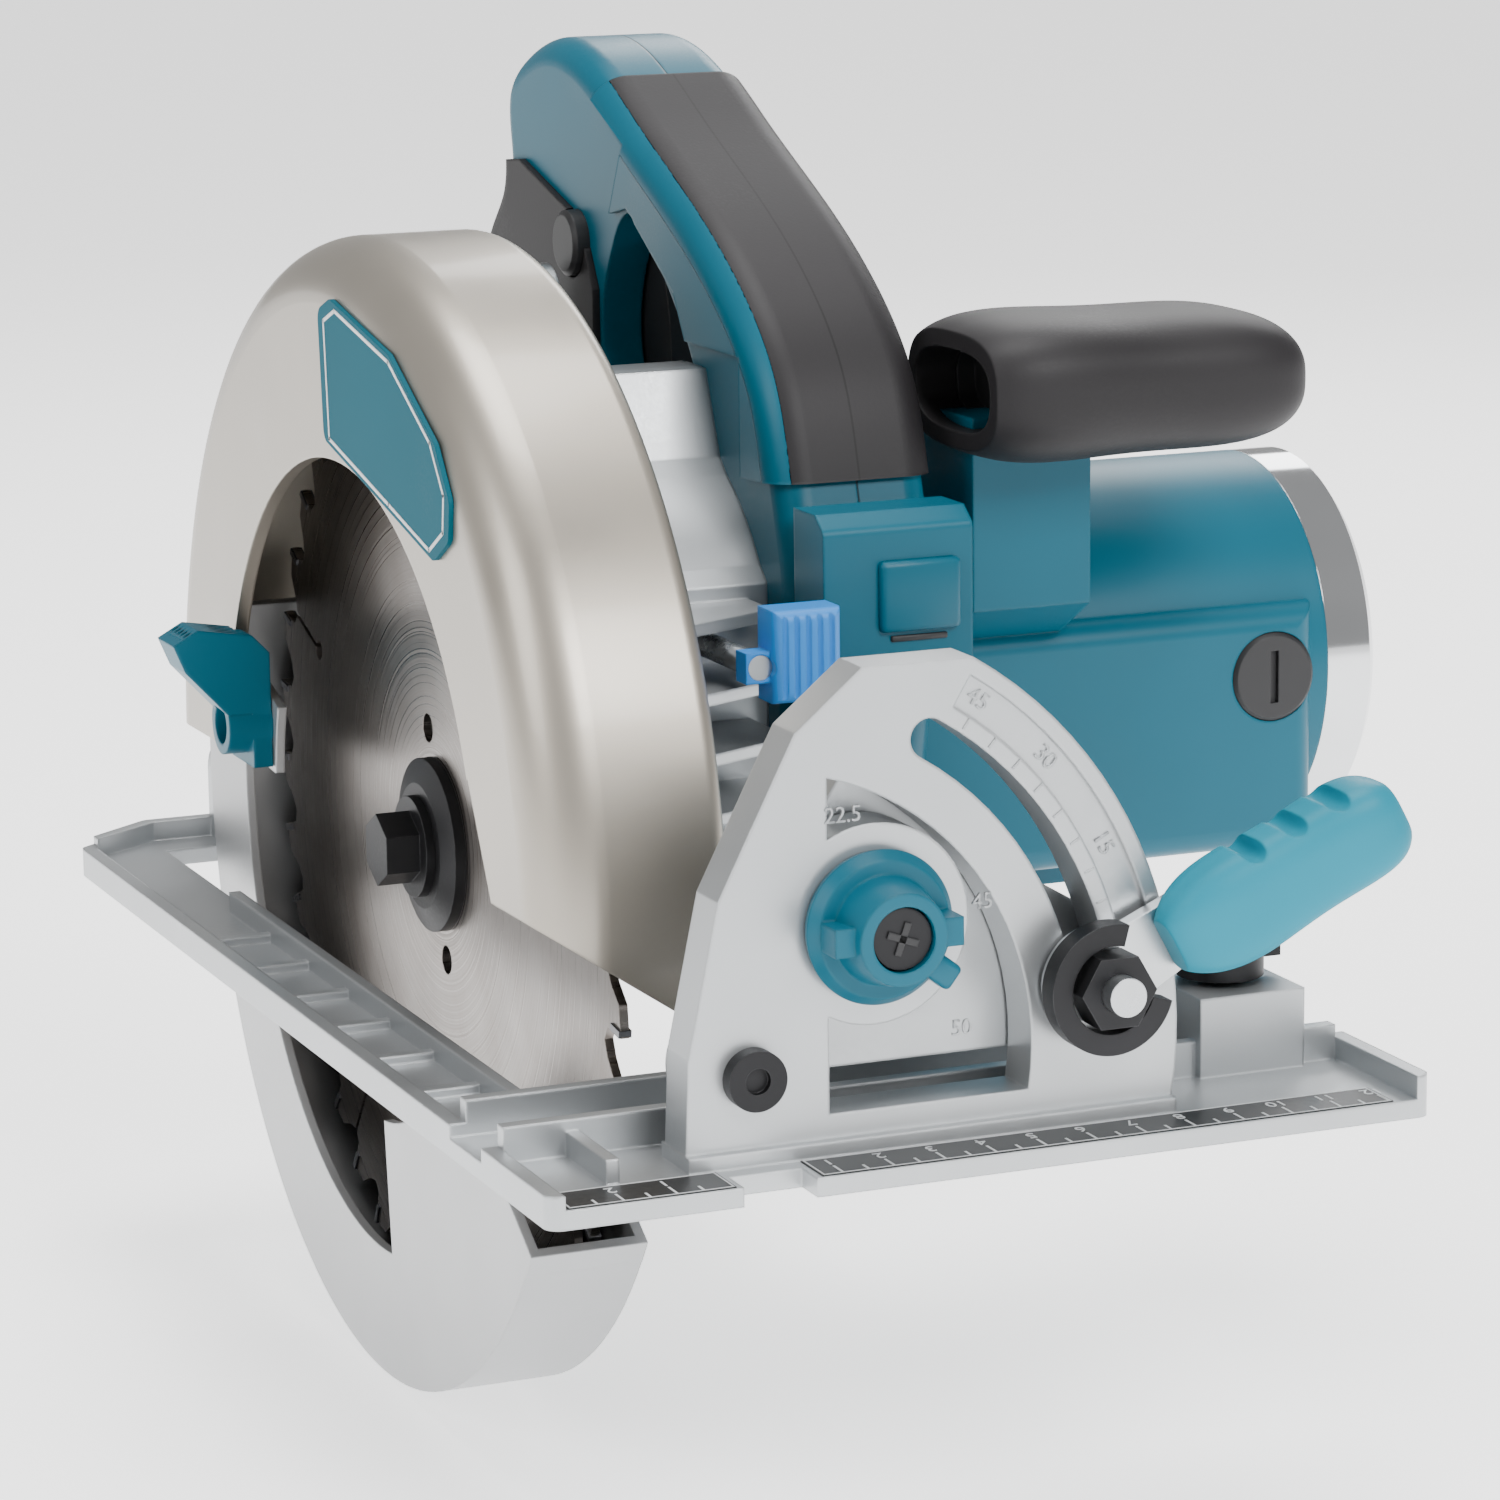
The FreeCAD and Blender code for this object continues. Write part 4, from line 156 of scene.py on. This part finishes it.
def surface(name, color, rough, metal=0.0, grain_mm=1.0, bump_mm=0.01, blotch_mm=45.0,
            rough_swing=0.06, tint=0.05, worn="#000000", wear=0.0, soft_mm=0.5, coat=0.0,
            stretch=(1, 1, 1), detail=3.0, specular=0.5, seam_mm=None):
    """One real surface: base colour with slow blotches, fine grain as bump, edge wear."""
    mat, tree, shader = start(name)
    where = coords(tree, stretch)
    slow = noise(tree, coords(tree), blotch_mm, 2.0)
    fine = noise(tree, where, grain_mm, detail)
    base = linear(color)
    dark = tuple(c * (1 - 2 * tint) for c in base[:3]) + (1,)
    light = tuple(min(1, c * (1 + 2 * tint)) for c in base[:3]) + (1,)
    shade = mix(tree, spread(tree, slow, 0.0, 1.0), dark, light)
    mask, softened = edges(tree, soft_mm)
    if wear > 0:
        broken = noise(tree, where, 3.5, 4.0)
        rub = add(tree, "ShaderNodeMath", {"operation": "MULTIPLY"}, {
            0: mask, 1: spread(tree, broken, 0.0, wear)}).outputs[0]
        shade = mix(tree, rub, shade, linear(worn))
    if seam_mm is not None:
        dark_line = tuple(0.3 * c for c in base[:3]) + (1,)
        shade = mix(tree, seam_line(tree, seam_mm), shade, dark_line)
    tree.links.new(shade, shader.inputs["Base Color"])
    both = add(tree, "ShaderNodeMath", {"operation": "MULTIPLY_ADD"}, {
        0: fine, 1: 0.5, 2: slow}).outputs[0]
    tree.links.new(spread(tree, both, max(0.02, rough - rough_swing), rough + rough_swing * 1.6),
                   shader.inputs["Roughness"])
    shader.inputs["Metallic"].default_value = metal
    if metal < 0.5:
        shader.inputs["Specular IOR Level"].default_value = specular
    shader.inputs["Coat Weight"].default_value = coat
    shader.inputs["Coat Roughness"].default_value = 0.12
    bump = add(tree, "ShaderNodeBump", None, {
        "Strength": 1.0, "Distance": bump_mm * MM, "Height": fine, "Normal": softened})
    tree.links.new(bump.outputs[0], shader.inputs["Normal"])
    return mat


def turned(name, color, rough, centre, ring_mm, ring_depth, tint=0.1, metal=1.0, stain=None):
    """Steel ground while it turned: fine rings round an X axis through centre."""
    mat, tree, shader = start(name)
    where = add(tree, "ShaderNodeTexCoord").outputs["Object"]
    out = add(tree, "ShaderNodeVectorMath", {"operation": "SUBTRACT"}, {
        0: where, 1: tuple(centre)}).outputs[0]
    flat = add(tree, "ShaderNodeVectorMath", {"operation": "MULTIPLY"}, {
        0: out, 1: (0, 1, 1)}).outputs[0]
    radius = add(tree, "ShaderNodeVectorMath", {"operation": "LENGTH"}, {0: flat}).outputs["Value"]
    rings = add(tree, "ShaderNodeTexNoise", {"noise_dimensions": "1D"}, {
        "W": radius, "Scale": 1000.0 / ring_mm, "Detail": 4.0}).outputs[0]
    slow = noise(tree, where, 30.0, 3.0)
    base = linear(color)
    dark = tuple(c * (1 - 2 * tint) for c in base[:3]) + (1,)
    light = tuple(min(1, c * (1 + 2 * tint)) for c in base[:3]) + (1,)
    shade = mix(tree, spread(tree, slow, 0.0, 1.0), dark, light)
    shade = mix(tree, spread(tree, rings, 0.0, 0.35), shade, light)
    if stain:
        shade = mix(tree, spread(tree, noise(tree, where, 14.0, 4.0), 0.0, 0.35), shade,
                    linear(stain))
    tree.links.new(shade, shader.inputs["Base Color"])
    tree.links.new(spread(tree, rings, rough - 0.05, rough + 0.12), shader.inputs["Roughness"])
    shader.inputs["Metallic"].default_value = metal
    softened = edges(tree, 0.3)[1]
    bump = add(tree, "ShaderNodeBump", None, {
        "Strength": 1.0, "Distance": ring_depth * MM, "Height": rings, "Normal": softened})
    tree.links.new(bump.outputs[0], shader.inputs["Normal"])
    return mat


# ------------------------------------------------------------------ materials
MOTOR = Vector((0.0, 155.763, 57.344)) * MM
TEAL = "#00566a"
M = {
    # die-cast aluminium under silver paint: smooth, slightly pebbled, soft wide highlight
    "cast_aluminium": surface("cast_aluminium_silver_paint", "#b4b7b9", 0.29, 0.82, 0.8, 0.006,
                              tint=0.03, worn="#dcdddd", wear=0.5, soft_mm=0.8, coat=0.15),
    # deep-drawn aluminium guard with satin lacquer: even grey, faint draw lines
    "guard_aluminium": surface("guard_aluminium_satin", "#b4b5b6", 0.32, 0.82, 1.2, 0.004,
                               tint=0.03, worn="#e2e2e2", wear=0.4, soft_mm=0.6,
                               stretch=(6, 1, 1)),
    # magnesium case under warm champagne lacquer: metallic flake, glossy clear coat
    "case_lacquer": surface("case_champagne_lacquer", "#aaa398", 0.29, 0.82, 0.35, 0.003,
                            tint=0.025, worn="#d9d4ca", wear=0.25, soft_mm=0.8, coat=0.35),
    # printed film on the base: near-black, glossy, a little dusty
    "label_black": surface("label_black_film", "#0f1011", 0.34, 0.0, 2.0, 0.002, tint=0.1,
                           coat=0.2),
    # black-oxide steel: dark, oily, edges rubbed to bare metal
    "black_steel": surface("black_oxide_steel", "#222224", 0.38, 0.6, 0.7, 0.008, tint=0.12,
                           worn="#6a6a6c", wear=0.7, soft_mm=0.35),
    # bright zinc plate: cool, fairly sharp reflections with hazy patches
    "zinc_steel": surface("bright_zinc_plate", "#c3c6c8", 0.24, 1.0, 0.9, 0.004, tint=0.04,
                          worn="#ededed", wear=0.3, soft_mm=0.35, blotch_mm=12),
    # ground steel inside the machine: clean, faint turning rings
    "machined_steel": surface("ground_steel", "#9a9b9d", 0.28, 1.0, 0.5, 0.004, tint=0.05,
                              soft_mm=0.3),
    # saw disc, ground on a turntable: dull brown-grey rings with resin haze
    "blade_steel": turned("blade_ground_steel", "#8f8a86", 0.30, ARBOR, 0.55, 0.004, 0.07,
                          stain="#6c6058"),
    # enamelled copper and its bars: orange metal
    "copper": surface("enamelled_copper", "#b5713c", 0.32, 1.0, 0.5, 0.03, tint=0.1,
                      stretch=(1, 6, 6)),
    # drawn brass tube
    "brass_tube": surface("drawn_brass", "#b8944e", 0.3, 1.0, 0.6, 0.004, tint=0.05),
    # glass-filled nylon in teal: fine spark texture, broad satin highlight
    "teal_plastic": surface("teal_nylon", TEAL, 0.30, 0.0, 0.5, 0.006, tint=0.03,
                            worn="#178293", wear=0.25, soft_mm=0.9, specular=0.28),
    # the same nylon on the two handle halves, with the parting line between them
    "teal_handle": surface("teal_nylon_halves", TEAL, 0.30, 0.0, 0.5, 0.006, tint=0.03,
                           worn="#178293", wear=0.25, soft_mm=0.9, specular=0.28,
                           seam_mm=HANDLE_X),
    # painted face of the badge: flat teal enamel
    "badge_enamel": surface("badge_teal_enamel", "#00505f", 0.5, 0.0, 0.8, 0.002, tint=0.02,
                            soft_mm=0.3, specular=0.12),
    # brighter moulded grip of the clamp lever
    "cyan_plastic": surface("cyan_nylon", "#007d93", 0.42, 0.0, 0.5, 0.008, tint=0.03,
                            worn="#2aa5b8", wear=0.25, soft_mm=1.0, specular=0.25),
    # blue acetal push pad
    "blue_plastic": surface("blue_acetal", "#1a7fd0", 0.36, 0.0, 0.6, 0.004, tint=0.03,
                            soft_mm=0.6),
    # polished aluminium end bell: nearly a mirror, hairline turning marks
    "polished_end": turned("polished_end_bell", "#d9dbdd", 0.09, MOTOR, 0.8, 0.0015, 0.02),
    # black glass-filled plastic: fine matte grain
    "black_plastic": surface("black_nylon", "#1c1c1e", 0.42, 0.0, 0.5, 0.012, tint=0.1,
                             worn="#48484a", wear=0.4, soft_mm=0.5),
    # overmoulded elastomer: warm dark grey, soft sheen, fine leather-like grain
    "soft_rubber": surface("overmould_elastomer", "#1d1b1d", 0.46, 0.0, 0.7, 0.02, tint=0.06,
                           worn="#343134", wear=0.25, soft_mm=0.8, specular=0.32),
    # the same elastomer on the bail handle, with its moulding line
    "handle_rubber": surface("overmould_elastomer_lined", "#1d1b1d", 0.44, 0.0, 0.7, 0.02,
                             tint=0.06, worn="#343134", wear=0.25, soft_mm=0.8, specular=0.32,
                             seam_mm=HANDLE_X),
    # pad printing: flat white ink
    "ink_white": surface("white_ink", "#d8dadb", 0.5, 0.0, 0.8, 0.002, tint=0.04),
    # brazed carbide: dark grey, sharp, bright facets
    "carbide": surface("brazed_carbide", "#77787c", 0.22, 1.0, 0.4, 0.004, tint=0.1,
                       soft_mm=0.15),
}

RECORD_SLOTS = {entry["node"]: entry["material_slot"] for entry in frame["record"]["subparts"]}
PAINT = {"handle_left": "teal_handle", "handle_right": "teal_handle",
         "case_badge": "badge_enamel"}
for node_name, obj in NODES.items():
    for entry in obj.material_slots:
        entry.material = M[PAINT.get(node_name, RECORD_SLOTS[node_name])]


# ------------------------------------------------------------------ piece helpers
def fresh():
    if bpy.context.object and bpy.context.object.mode != "OBJECT":
        bpy.ops.object.mode_set(mode="OBJECT")
    bpy.ops.object.select_all(action="DESELECT")


def settle(name, body, slot_name, paint=None):
    """Puts the new piece's place into its mesh, names it, paints it and lets it ride."""
    piece = bpy.context.object
    bpy.ops.object.transform_apply(location=True, rotation=True, scale=True)
    piece.name = name
    piece.data.name = name
    piece.data.materials.clear()
    piece.data.materials.append(M[paint or slot_name])
    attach(piece, body)
    return piece


def join(pieces, name):
    fresh()
    for piece in pieces:
        piece.select_set(True)
    bpy.context.view_layer.objects.active = pieces[0]
    if len(pieces) > 1:
        bpy.ops.object.join()
    bpy.context.object.name = name
    return bpy.context.object


def block(centre, size, turn=(0, 0, 0)):
    """A box of a size in mm about a centre in mm."""
    fresh()
    bpy.ops.mesh.primitive_cube_add(size=1, location=[c * MM for c in centre], rotation=turn)
    bpy.context.object.scale = [c * MM for c in size]
    bpy.ops.object.transform_apply(location=False, rotation=False, scale=True)
    return bpy.context.object


def words(text, size_mm, matrix, depth_mm=0.15):
    """Text as a thin mesh, centred on the matrix's origin."""
    fresh()
    bpy.ops.object.text_add()
    made = bpy.context.object
    made.data.body = text
    made.data.size = size_mm * MM
    made.data.extrude = depth_mm * MM
    made.data.align_x = "CENTER"
    made.data.align_y = "CENTER"
    made.data.resolution_u = 3
    bpy.ops.object.convert(target="MESH")
    made = bpy.context.object
    made.matrix_world = matrix
    bpy.ops.object.transform_apply(location=True, rotation=True, scale=True)
    return made


# ------------------------------------------------------------------ ruler on the base
def make_ruler():
    """Printed film on both sides of the sight notch, read from the operator's side."""
    front, back = -16.5, -6.4
    film, ink = 0.2, 0.1
    strips = ((-39.8, -8.2), (8.2, 123.0))
    middle = (front + back) / 2
    films = [block(((a + b) / 2, middle, BASE_FLOOR_Z + film / 2), (b - a, back - front, film))
             for a, b in strips]
    join(films, "ruler_film")
    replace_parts(settle("ruler_film", "base", "label_black"), "scale_label")

    ink_z = BASE_FLOOR_Z + 0.23
    line, inset = 0.3, 0.35
    marks = []
    for a, b in strips:
        for y in (front + inset, back - inset):
            marks.append(block(((a + b) / 2, y, ink_z), (b - a - 2 * line, line, ink)))
        for x in (a + inset + 0.1, b - inset - 0.1):
            marks.append(block((x, middle, ink_z), (line, back - front - 3 * line, ink)))

    # one long division and a figure every 10 mm, one short division between them
    half_turn = Matrix.Rotation(math.pi, 4, "Z")
    long, short, stroke, figure_y, figure_mm = 4.2, 2.6, 0.45, -9.2, 4.2
    for first_x, step, count, first_whole in ((12.3, 5, 23, 0), (-14.2, -5, 5, 1)):
        for i in range(count):
            x = first_x + step * i
            whole = i % 2 == first_whole
            reach = long if whole else short
            marks.append(block((x, front + 0.5 + reach / 2, ink_z), (stroke, reach, ink)))
            if whole:
                at = Matrix.Translation(Vector((x, figure_y, ink_z + 0.01)) * MM)
                marks.append(words(str(i // 2 + 1), figure_mm, at @ half_turn, 0.05))
    join(marks, "ruler_print")
    settle("ruler_print", "base", "label_black", "ink_white")


def make_angle_figures():
    """Raised figures of the bevel scale on the quadrant and round the stop knob."""
    face = Matrix.Rotation(math.pi / 2, 4, "X")
    figure_radius, relief_y = 78.5, ARCH_FACE_Y + 1.15
    marks = []
    for text, angle in (("50", 61), ("45", 55), ("30", 42), ("15", 27), ("0", 14)):
        turn = Matrix.Rotation(math.radians(90 - angle), 4, "Y")
        spot = Vector((figure_radius * math.cos(math.radians(angle)), relief_y,
                       PIVOT_Z + figure_radius * math.sin(math.radians(angle)))) * MM
        marks.append(words(text, 4.6, Matrix.Translation(spot) @ turn @ face, 0.35))
    on_face = ARCH_FACE_Y - 0.05
    for text, x, z in (("22.5", 18, 65.5), ("45", 45.2, 47), ("50", 41, 24)):
        spot = Vector((x, on_face, z)) * MM
        marks.append(words(text, 4.2, Matrix.Translation(spot) @ face, 0.3))
    tick_radius = 73.6
    for angle in range(10, 60, 5):
        turn = math.radians(angle)
        spot = (tick_radius * math.cos(turn), on_face, PIVOT_Z + tick_radius * math.sin(turn))
        marks.append(block(spot, (2.2, 0.3, 0.4), (0, -turn, 0)))
    join(marks, "bevel_figures")
    settle("bevel_figures", "base", "cast_aluminium")


def make_tooth_tips():
    """A carbide tip brazed behind the face of every tooth, wider than the disc."""
    tips = []
    tip_width, tip_height, tip_thick = 2.6, 4.6, 1.4
    radius, set_back = BLADE_RADIUS - 2.4, 0.75
    for i in range(BLADE_TEETH):
        angle = 2 * math.pi * i / BLADE_TEETH - set_back / radius
        place = (0.0, ARBOR_Y + radius * math.cos(angle), ARBOR_Z + radius * math.sin(angle))
        tips.append(block(place, (tip_width, tip_height, tip_thick), (angle, 0, 0)))
    join(tips, "carbide_tips")
    settle("carbide_tips", "spindle", "blade_steel", "carbide")


def rounded(piece, width_mm, segments=3):
    """Rounds every edge of a fresh piece."""
    modifier = piece.modifiers.new("round", "BEVEL")
    modifier.width = width_mm * MM
    modifier.segments = segments
    bpy.ops.object.modifier_apply(modifier="round")
    bpy.ops.object.shade_smooth_by_angle(angle=math.radians(50))
    return piece


def make_cover_tab():
    """The raised tab on the front cover, and a black bar below it: painted shade standing for the
    groove that frames the tab.
    """
    rounded(block((70.0, 77.3, 88.0), (17.0, 2.6, 14.0)), 1.1)
    settle("cover_tab", "saw_body", "teal_plastic")
    # a black bar where the groove under the tab is: painted shade of the recess, not a part of its
    # own
    rounded(block((70.0, 77.7, 79.6), (12.0, 1.0, 1.2)), 0.3)
    settle("cover_groove", "saw_body", "black_plastic")


def skin_part(name, node, cut_x_mm, keep_right, slot_name, paint=None):
    """The part of a CAD skin on one side of the plane x = cut_x_mm, closed again."""
    fresh()
    piece = bpy.data.objects.new(name, NODES[node].data.copy())
    bpy.context.scene.collection.objects.link(piece)
    bpy.context.view_layer.objects.active = piece
    piece.select_set(True)
    bpy.ops.object.mode_set(mode="EDIT")
    bpy.ops.mesh.select_all(action="SELECT")
    bpy.ops.mesh.bisect(plane_co=(cut_x_mm * MM, 0, 0), plane_no=(1, 0, 0), use_fill=True,
                        clear_inner=keep_right, clear_outer=not keep_right)
    bpy.ops.mesh.select_all(action="SELECT")
    bpy.ops.mesh.normals_make_consistent(inside=False)
    bpy.ops.object.mode_set(mode="OBJECT")
    return settle(name, "saw_body", slot_name, paint)


def make_front_skin():
    """The front grip cover: elastomer over the front, teal nylon down its left flank."""
    flank_x, gap = 52.0, 0.1
    shown = skin_part("grip_cover_front_shown", "grip_cover_front", flank_x, True,
                      "soft_rubber", "handle_rubber")
    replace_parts(shown, "grip_cover_front")
    skin_part("grip_flank", "grip_cover_front", flank_x - gap, False, "teal_plastic")


def make_knob_pointer():
    """Pointer of the stop knob, and a dark cross on its screw: painted shade of the cross recess.
    """
    turn, reach = math.radians(38), 13.6
    place = (KNOB_X + reach * math.cos(turn), -7.6, KNOB_Z - reach * math.sin(turn))
    rounded(block(place, (7.0, 4.6, 5.0), (0, turn, 0)), 1.0)
    settle("knob_pointer", "stop_knob", "teal_plastic")
    # two dark bars where the screw's cross recess is: painted shade of the recess, not a cut
    bars = [block((KNOB_X, -16.42, KNOB_Z), size, (0, math.radians(20), 0))
            for size in ((6.2, 0.5, 1.3), (1.3, 0.5, 6.2))]
    join(bars, "screw_cross")
    settle("screw_cross", "base", "black_steel", "black_plastic")


def make_badge_frame():
    """A pale line round the blank badge, from the badge's corners (y, z) drawn inwards."""
    corners = [(168, 139), (160, 142), (124, 135), (98, 121), (90, 111), (91, 103), (100, 98),
               (126, 104), (166, 113)]
    middle = [sum(c[i] for c in corners) / len(corners) for i in (0, 1)]
    inward = 0.09
    inner = [[c[i] + (middle[i] - c[i]) * inward for i in (0, 1)] for c in corners]
    bars = []
    for a, b in zip(inner, inner[1:] + inner[:1]):
        length = math.dist(a, b)
        tilt = math.atan2(b[1] - a[1], b[0] - a[0])
        centre = (-21.52, (a[0] + b[0]) / 2, (a[1] + b[1]) / 2)
        bars.append(block(centre, (0.12, length + 0.5, 0.8), (tilt, 0, 0)))
    join(bars, "badge_line")
    settle("badge_line", "saw_body", "teal_plastic", "ink_white")


make_ruler()
make_angle_figures()
make_tooth_tips()
make_cover_tab()
make_front_skin()
make_knob_pointer()
make_badge_frame()

# ------------------------------------------------------------------ floor, light and camera
fresh()
bpy.ops.mesh.primitive_plane_add(size=60, location=(0, 0, bounds_cad[0][2] - MM))
floor = bpy.context.object
floor.name = "studio_floor"
paper = surface("white_paper", "#fafafa", 0.75, 0.0, 0.6, 0.002, tint=0.003)
# the sheet is lit through from below, as on a light table
paper_shader = next(node for node in paper.node_tree.nodes if node.type == "BSDF_PRINCIPLED")
paper_shader.inputs["Emission Color"].default_value = (1, 1, 1, 1)
paper_shader.inputs["Emission Strength"].default_value = 1.3
floor.data.materials.append(paper)


def lamp(name, place, target, size, power):
    data = bpy.data.lights.new(name, "AREA")
    data.shape = "RECTANGLE"
    data.size, data.size_y = size
    data.energy = power
    obj = bpy.data.objects.new(name, data)
    bpy.context.scene.collection.objects.link(obj)
    obj.location = place
    aim = Vector(target) - Vector(place)
    obj.rotation_euler = aim.to_track_quat("-Z", "Y").to_euler()


lamp("key_front", (0.35, -1.45, 1.25), (0, 0.12, 0.05), (0.9, 0.7), 34)
lamp("left", (-1.3, -0.2, 0.8), (0, 0.12, 0.05), (0.7, 0.9), 10)
lamp("top", (0.1, 0.3, 1.6), (0.05, 0.12, 0.0), (0.9, 0.9), 24)
lamp("back", (0.9, 1.3, 0.9), (0.05, 0.15, 0.1), (0.8, 0.6), 10)

world = bpy.data.worlds.new("studio_world")
bpy.context.scene.world = world
world.use_nodes = True
world.node_tree.nodes["Background"].inputs[0].default_value = (1, 1, 1, 1)
world.node_tree.nodes["Background"].inputs[1].default_value = 0.4

# the camera looks from the front left, a little down, with a long lens
AZ, PITCH, ROLL = math.radians(22.42), math.radians(11.81), math.radians(-0.73)
CAMERA_PLACE = Vector((-340.3, -830.0, 265.7)) * MM
forward = Vector((math.sin(AZ) * math.cos(PITCH), math.cos(AZ) * math.cos(PITCH),
                  -math.sin(PITCH)))
right = Vector((math.cos(AZ), -math.sin(AZ), 0))
up = right.cross(forward)
right_rolled = right * math.cos(ROLL) + up * math.sin(ROLL)
up_rolled = up * math.cos(ROLL) - right * math.sin(ROLL)
camera_data = bpy.data.cameras.new("camera")
camera_data.lens = 125.1
camera_data.sensor_width = 36.0
camera = bpy.data.objects.new("camera", camera_data)
bpy.context.scene.collection.objects.link(camera)
columns = Matrix((right_rolled, up_rolled, -forward)).transposed()
camera.matrix_world = Matrix.Translation(CAMERA_PLACE) @ columns.to_4x4()
bpy.context.scene.camera = camera
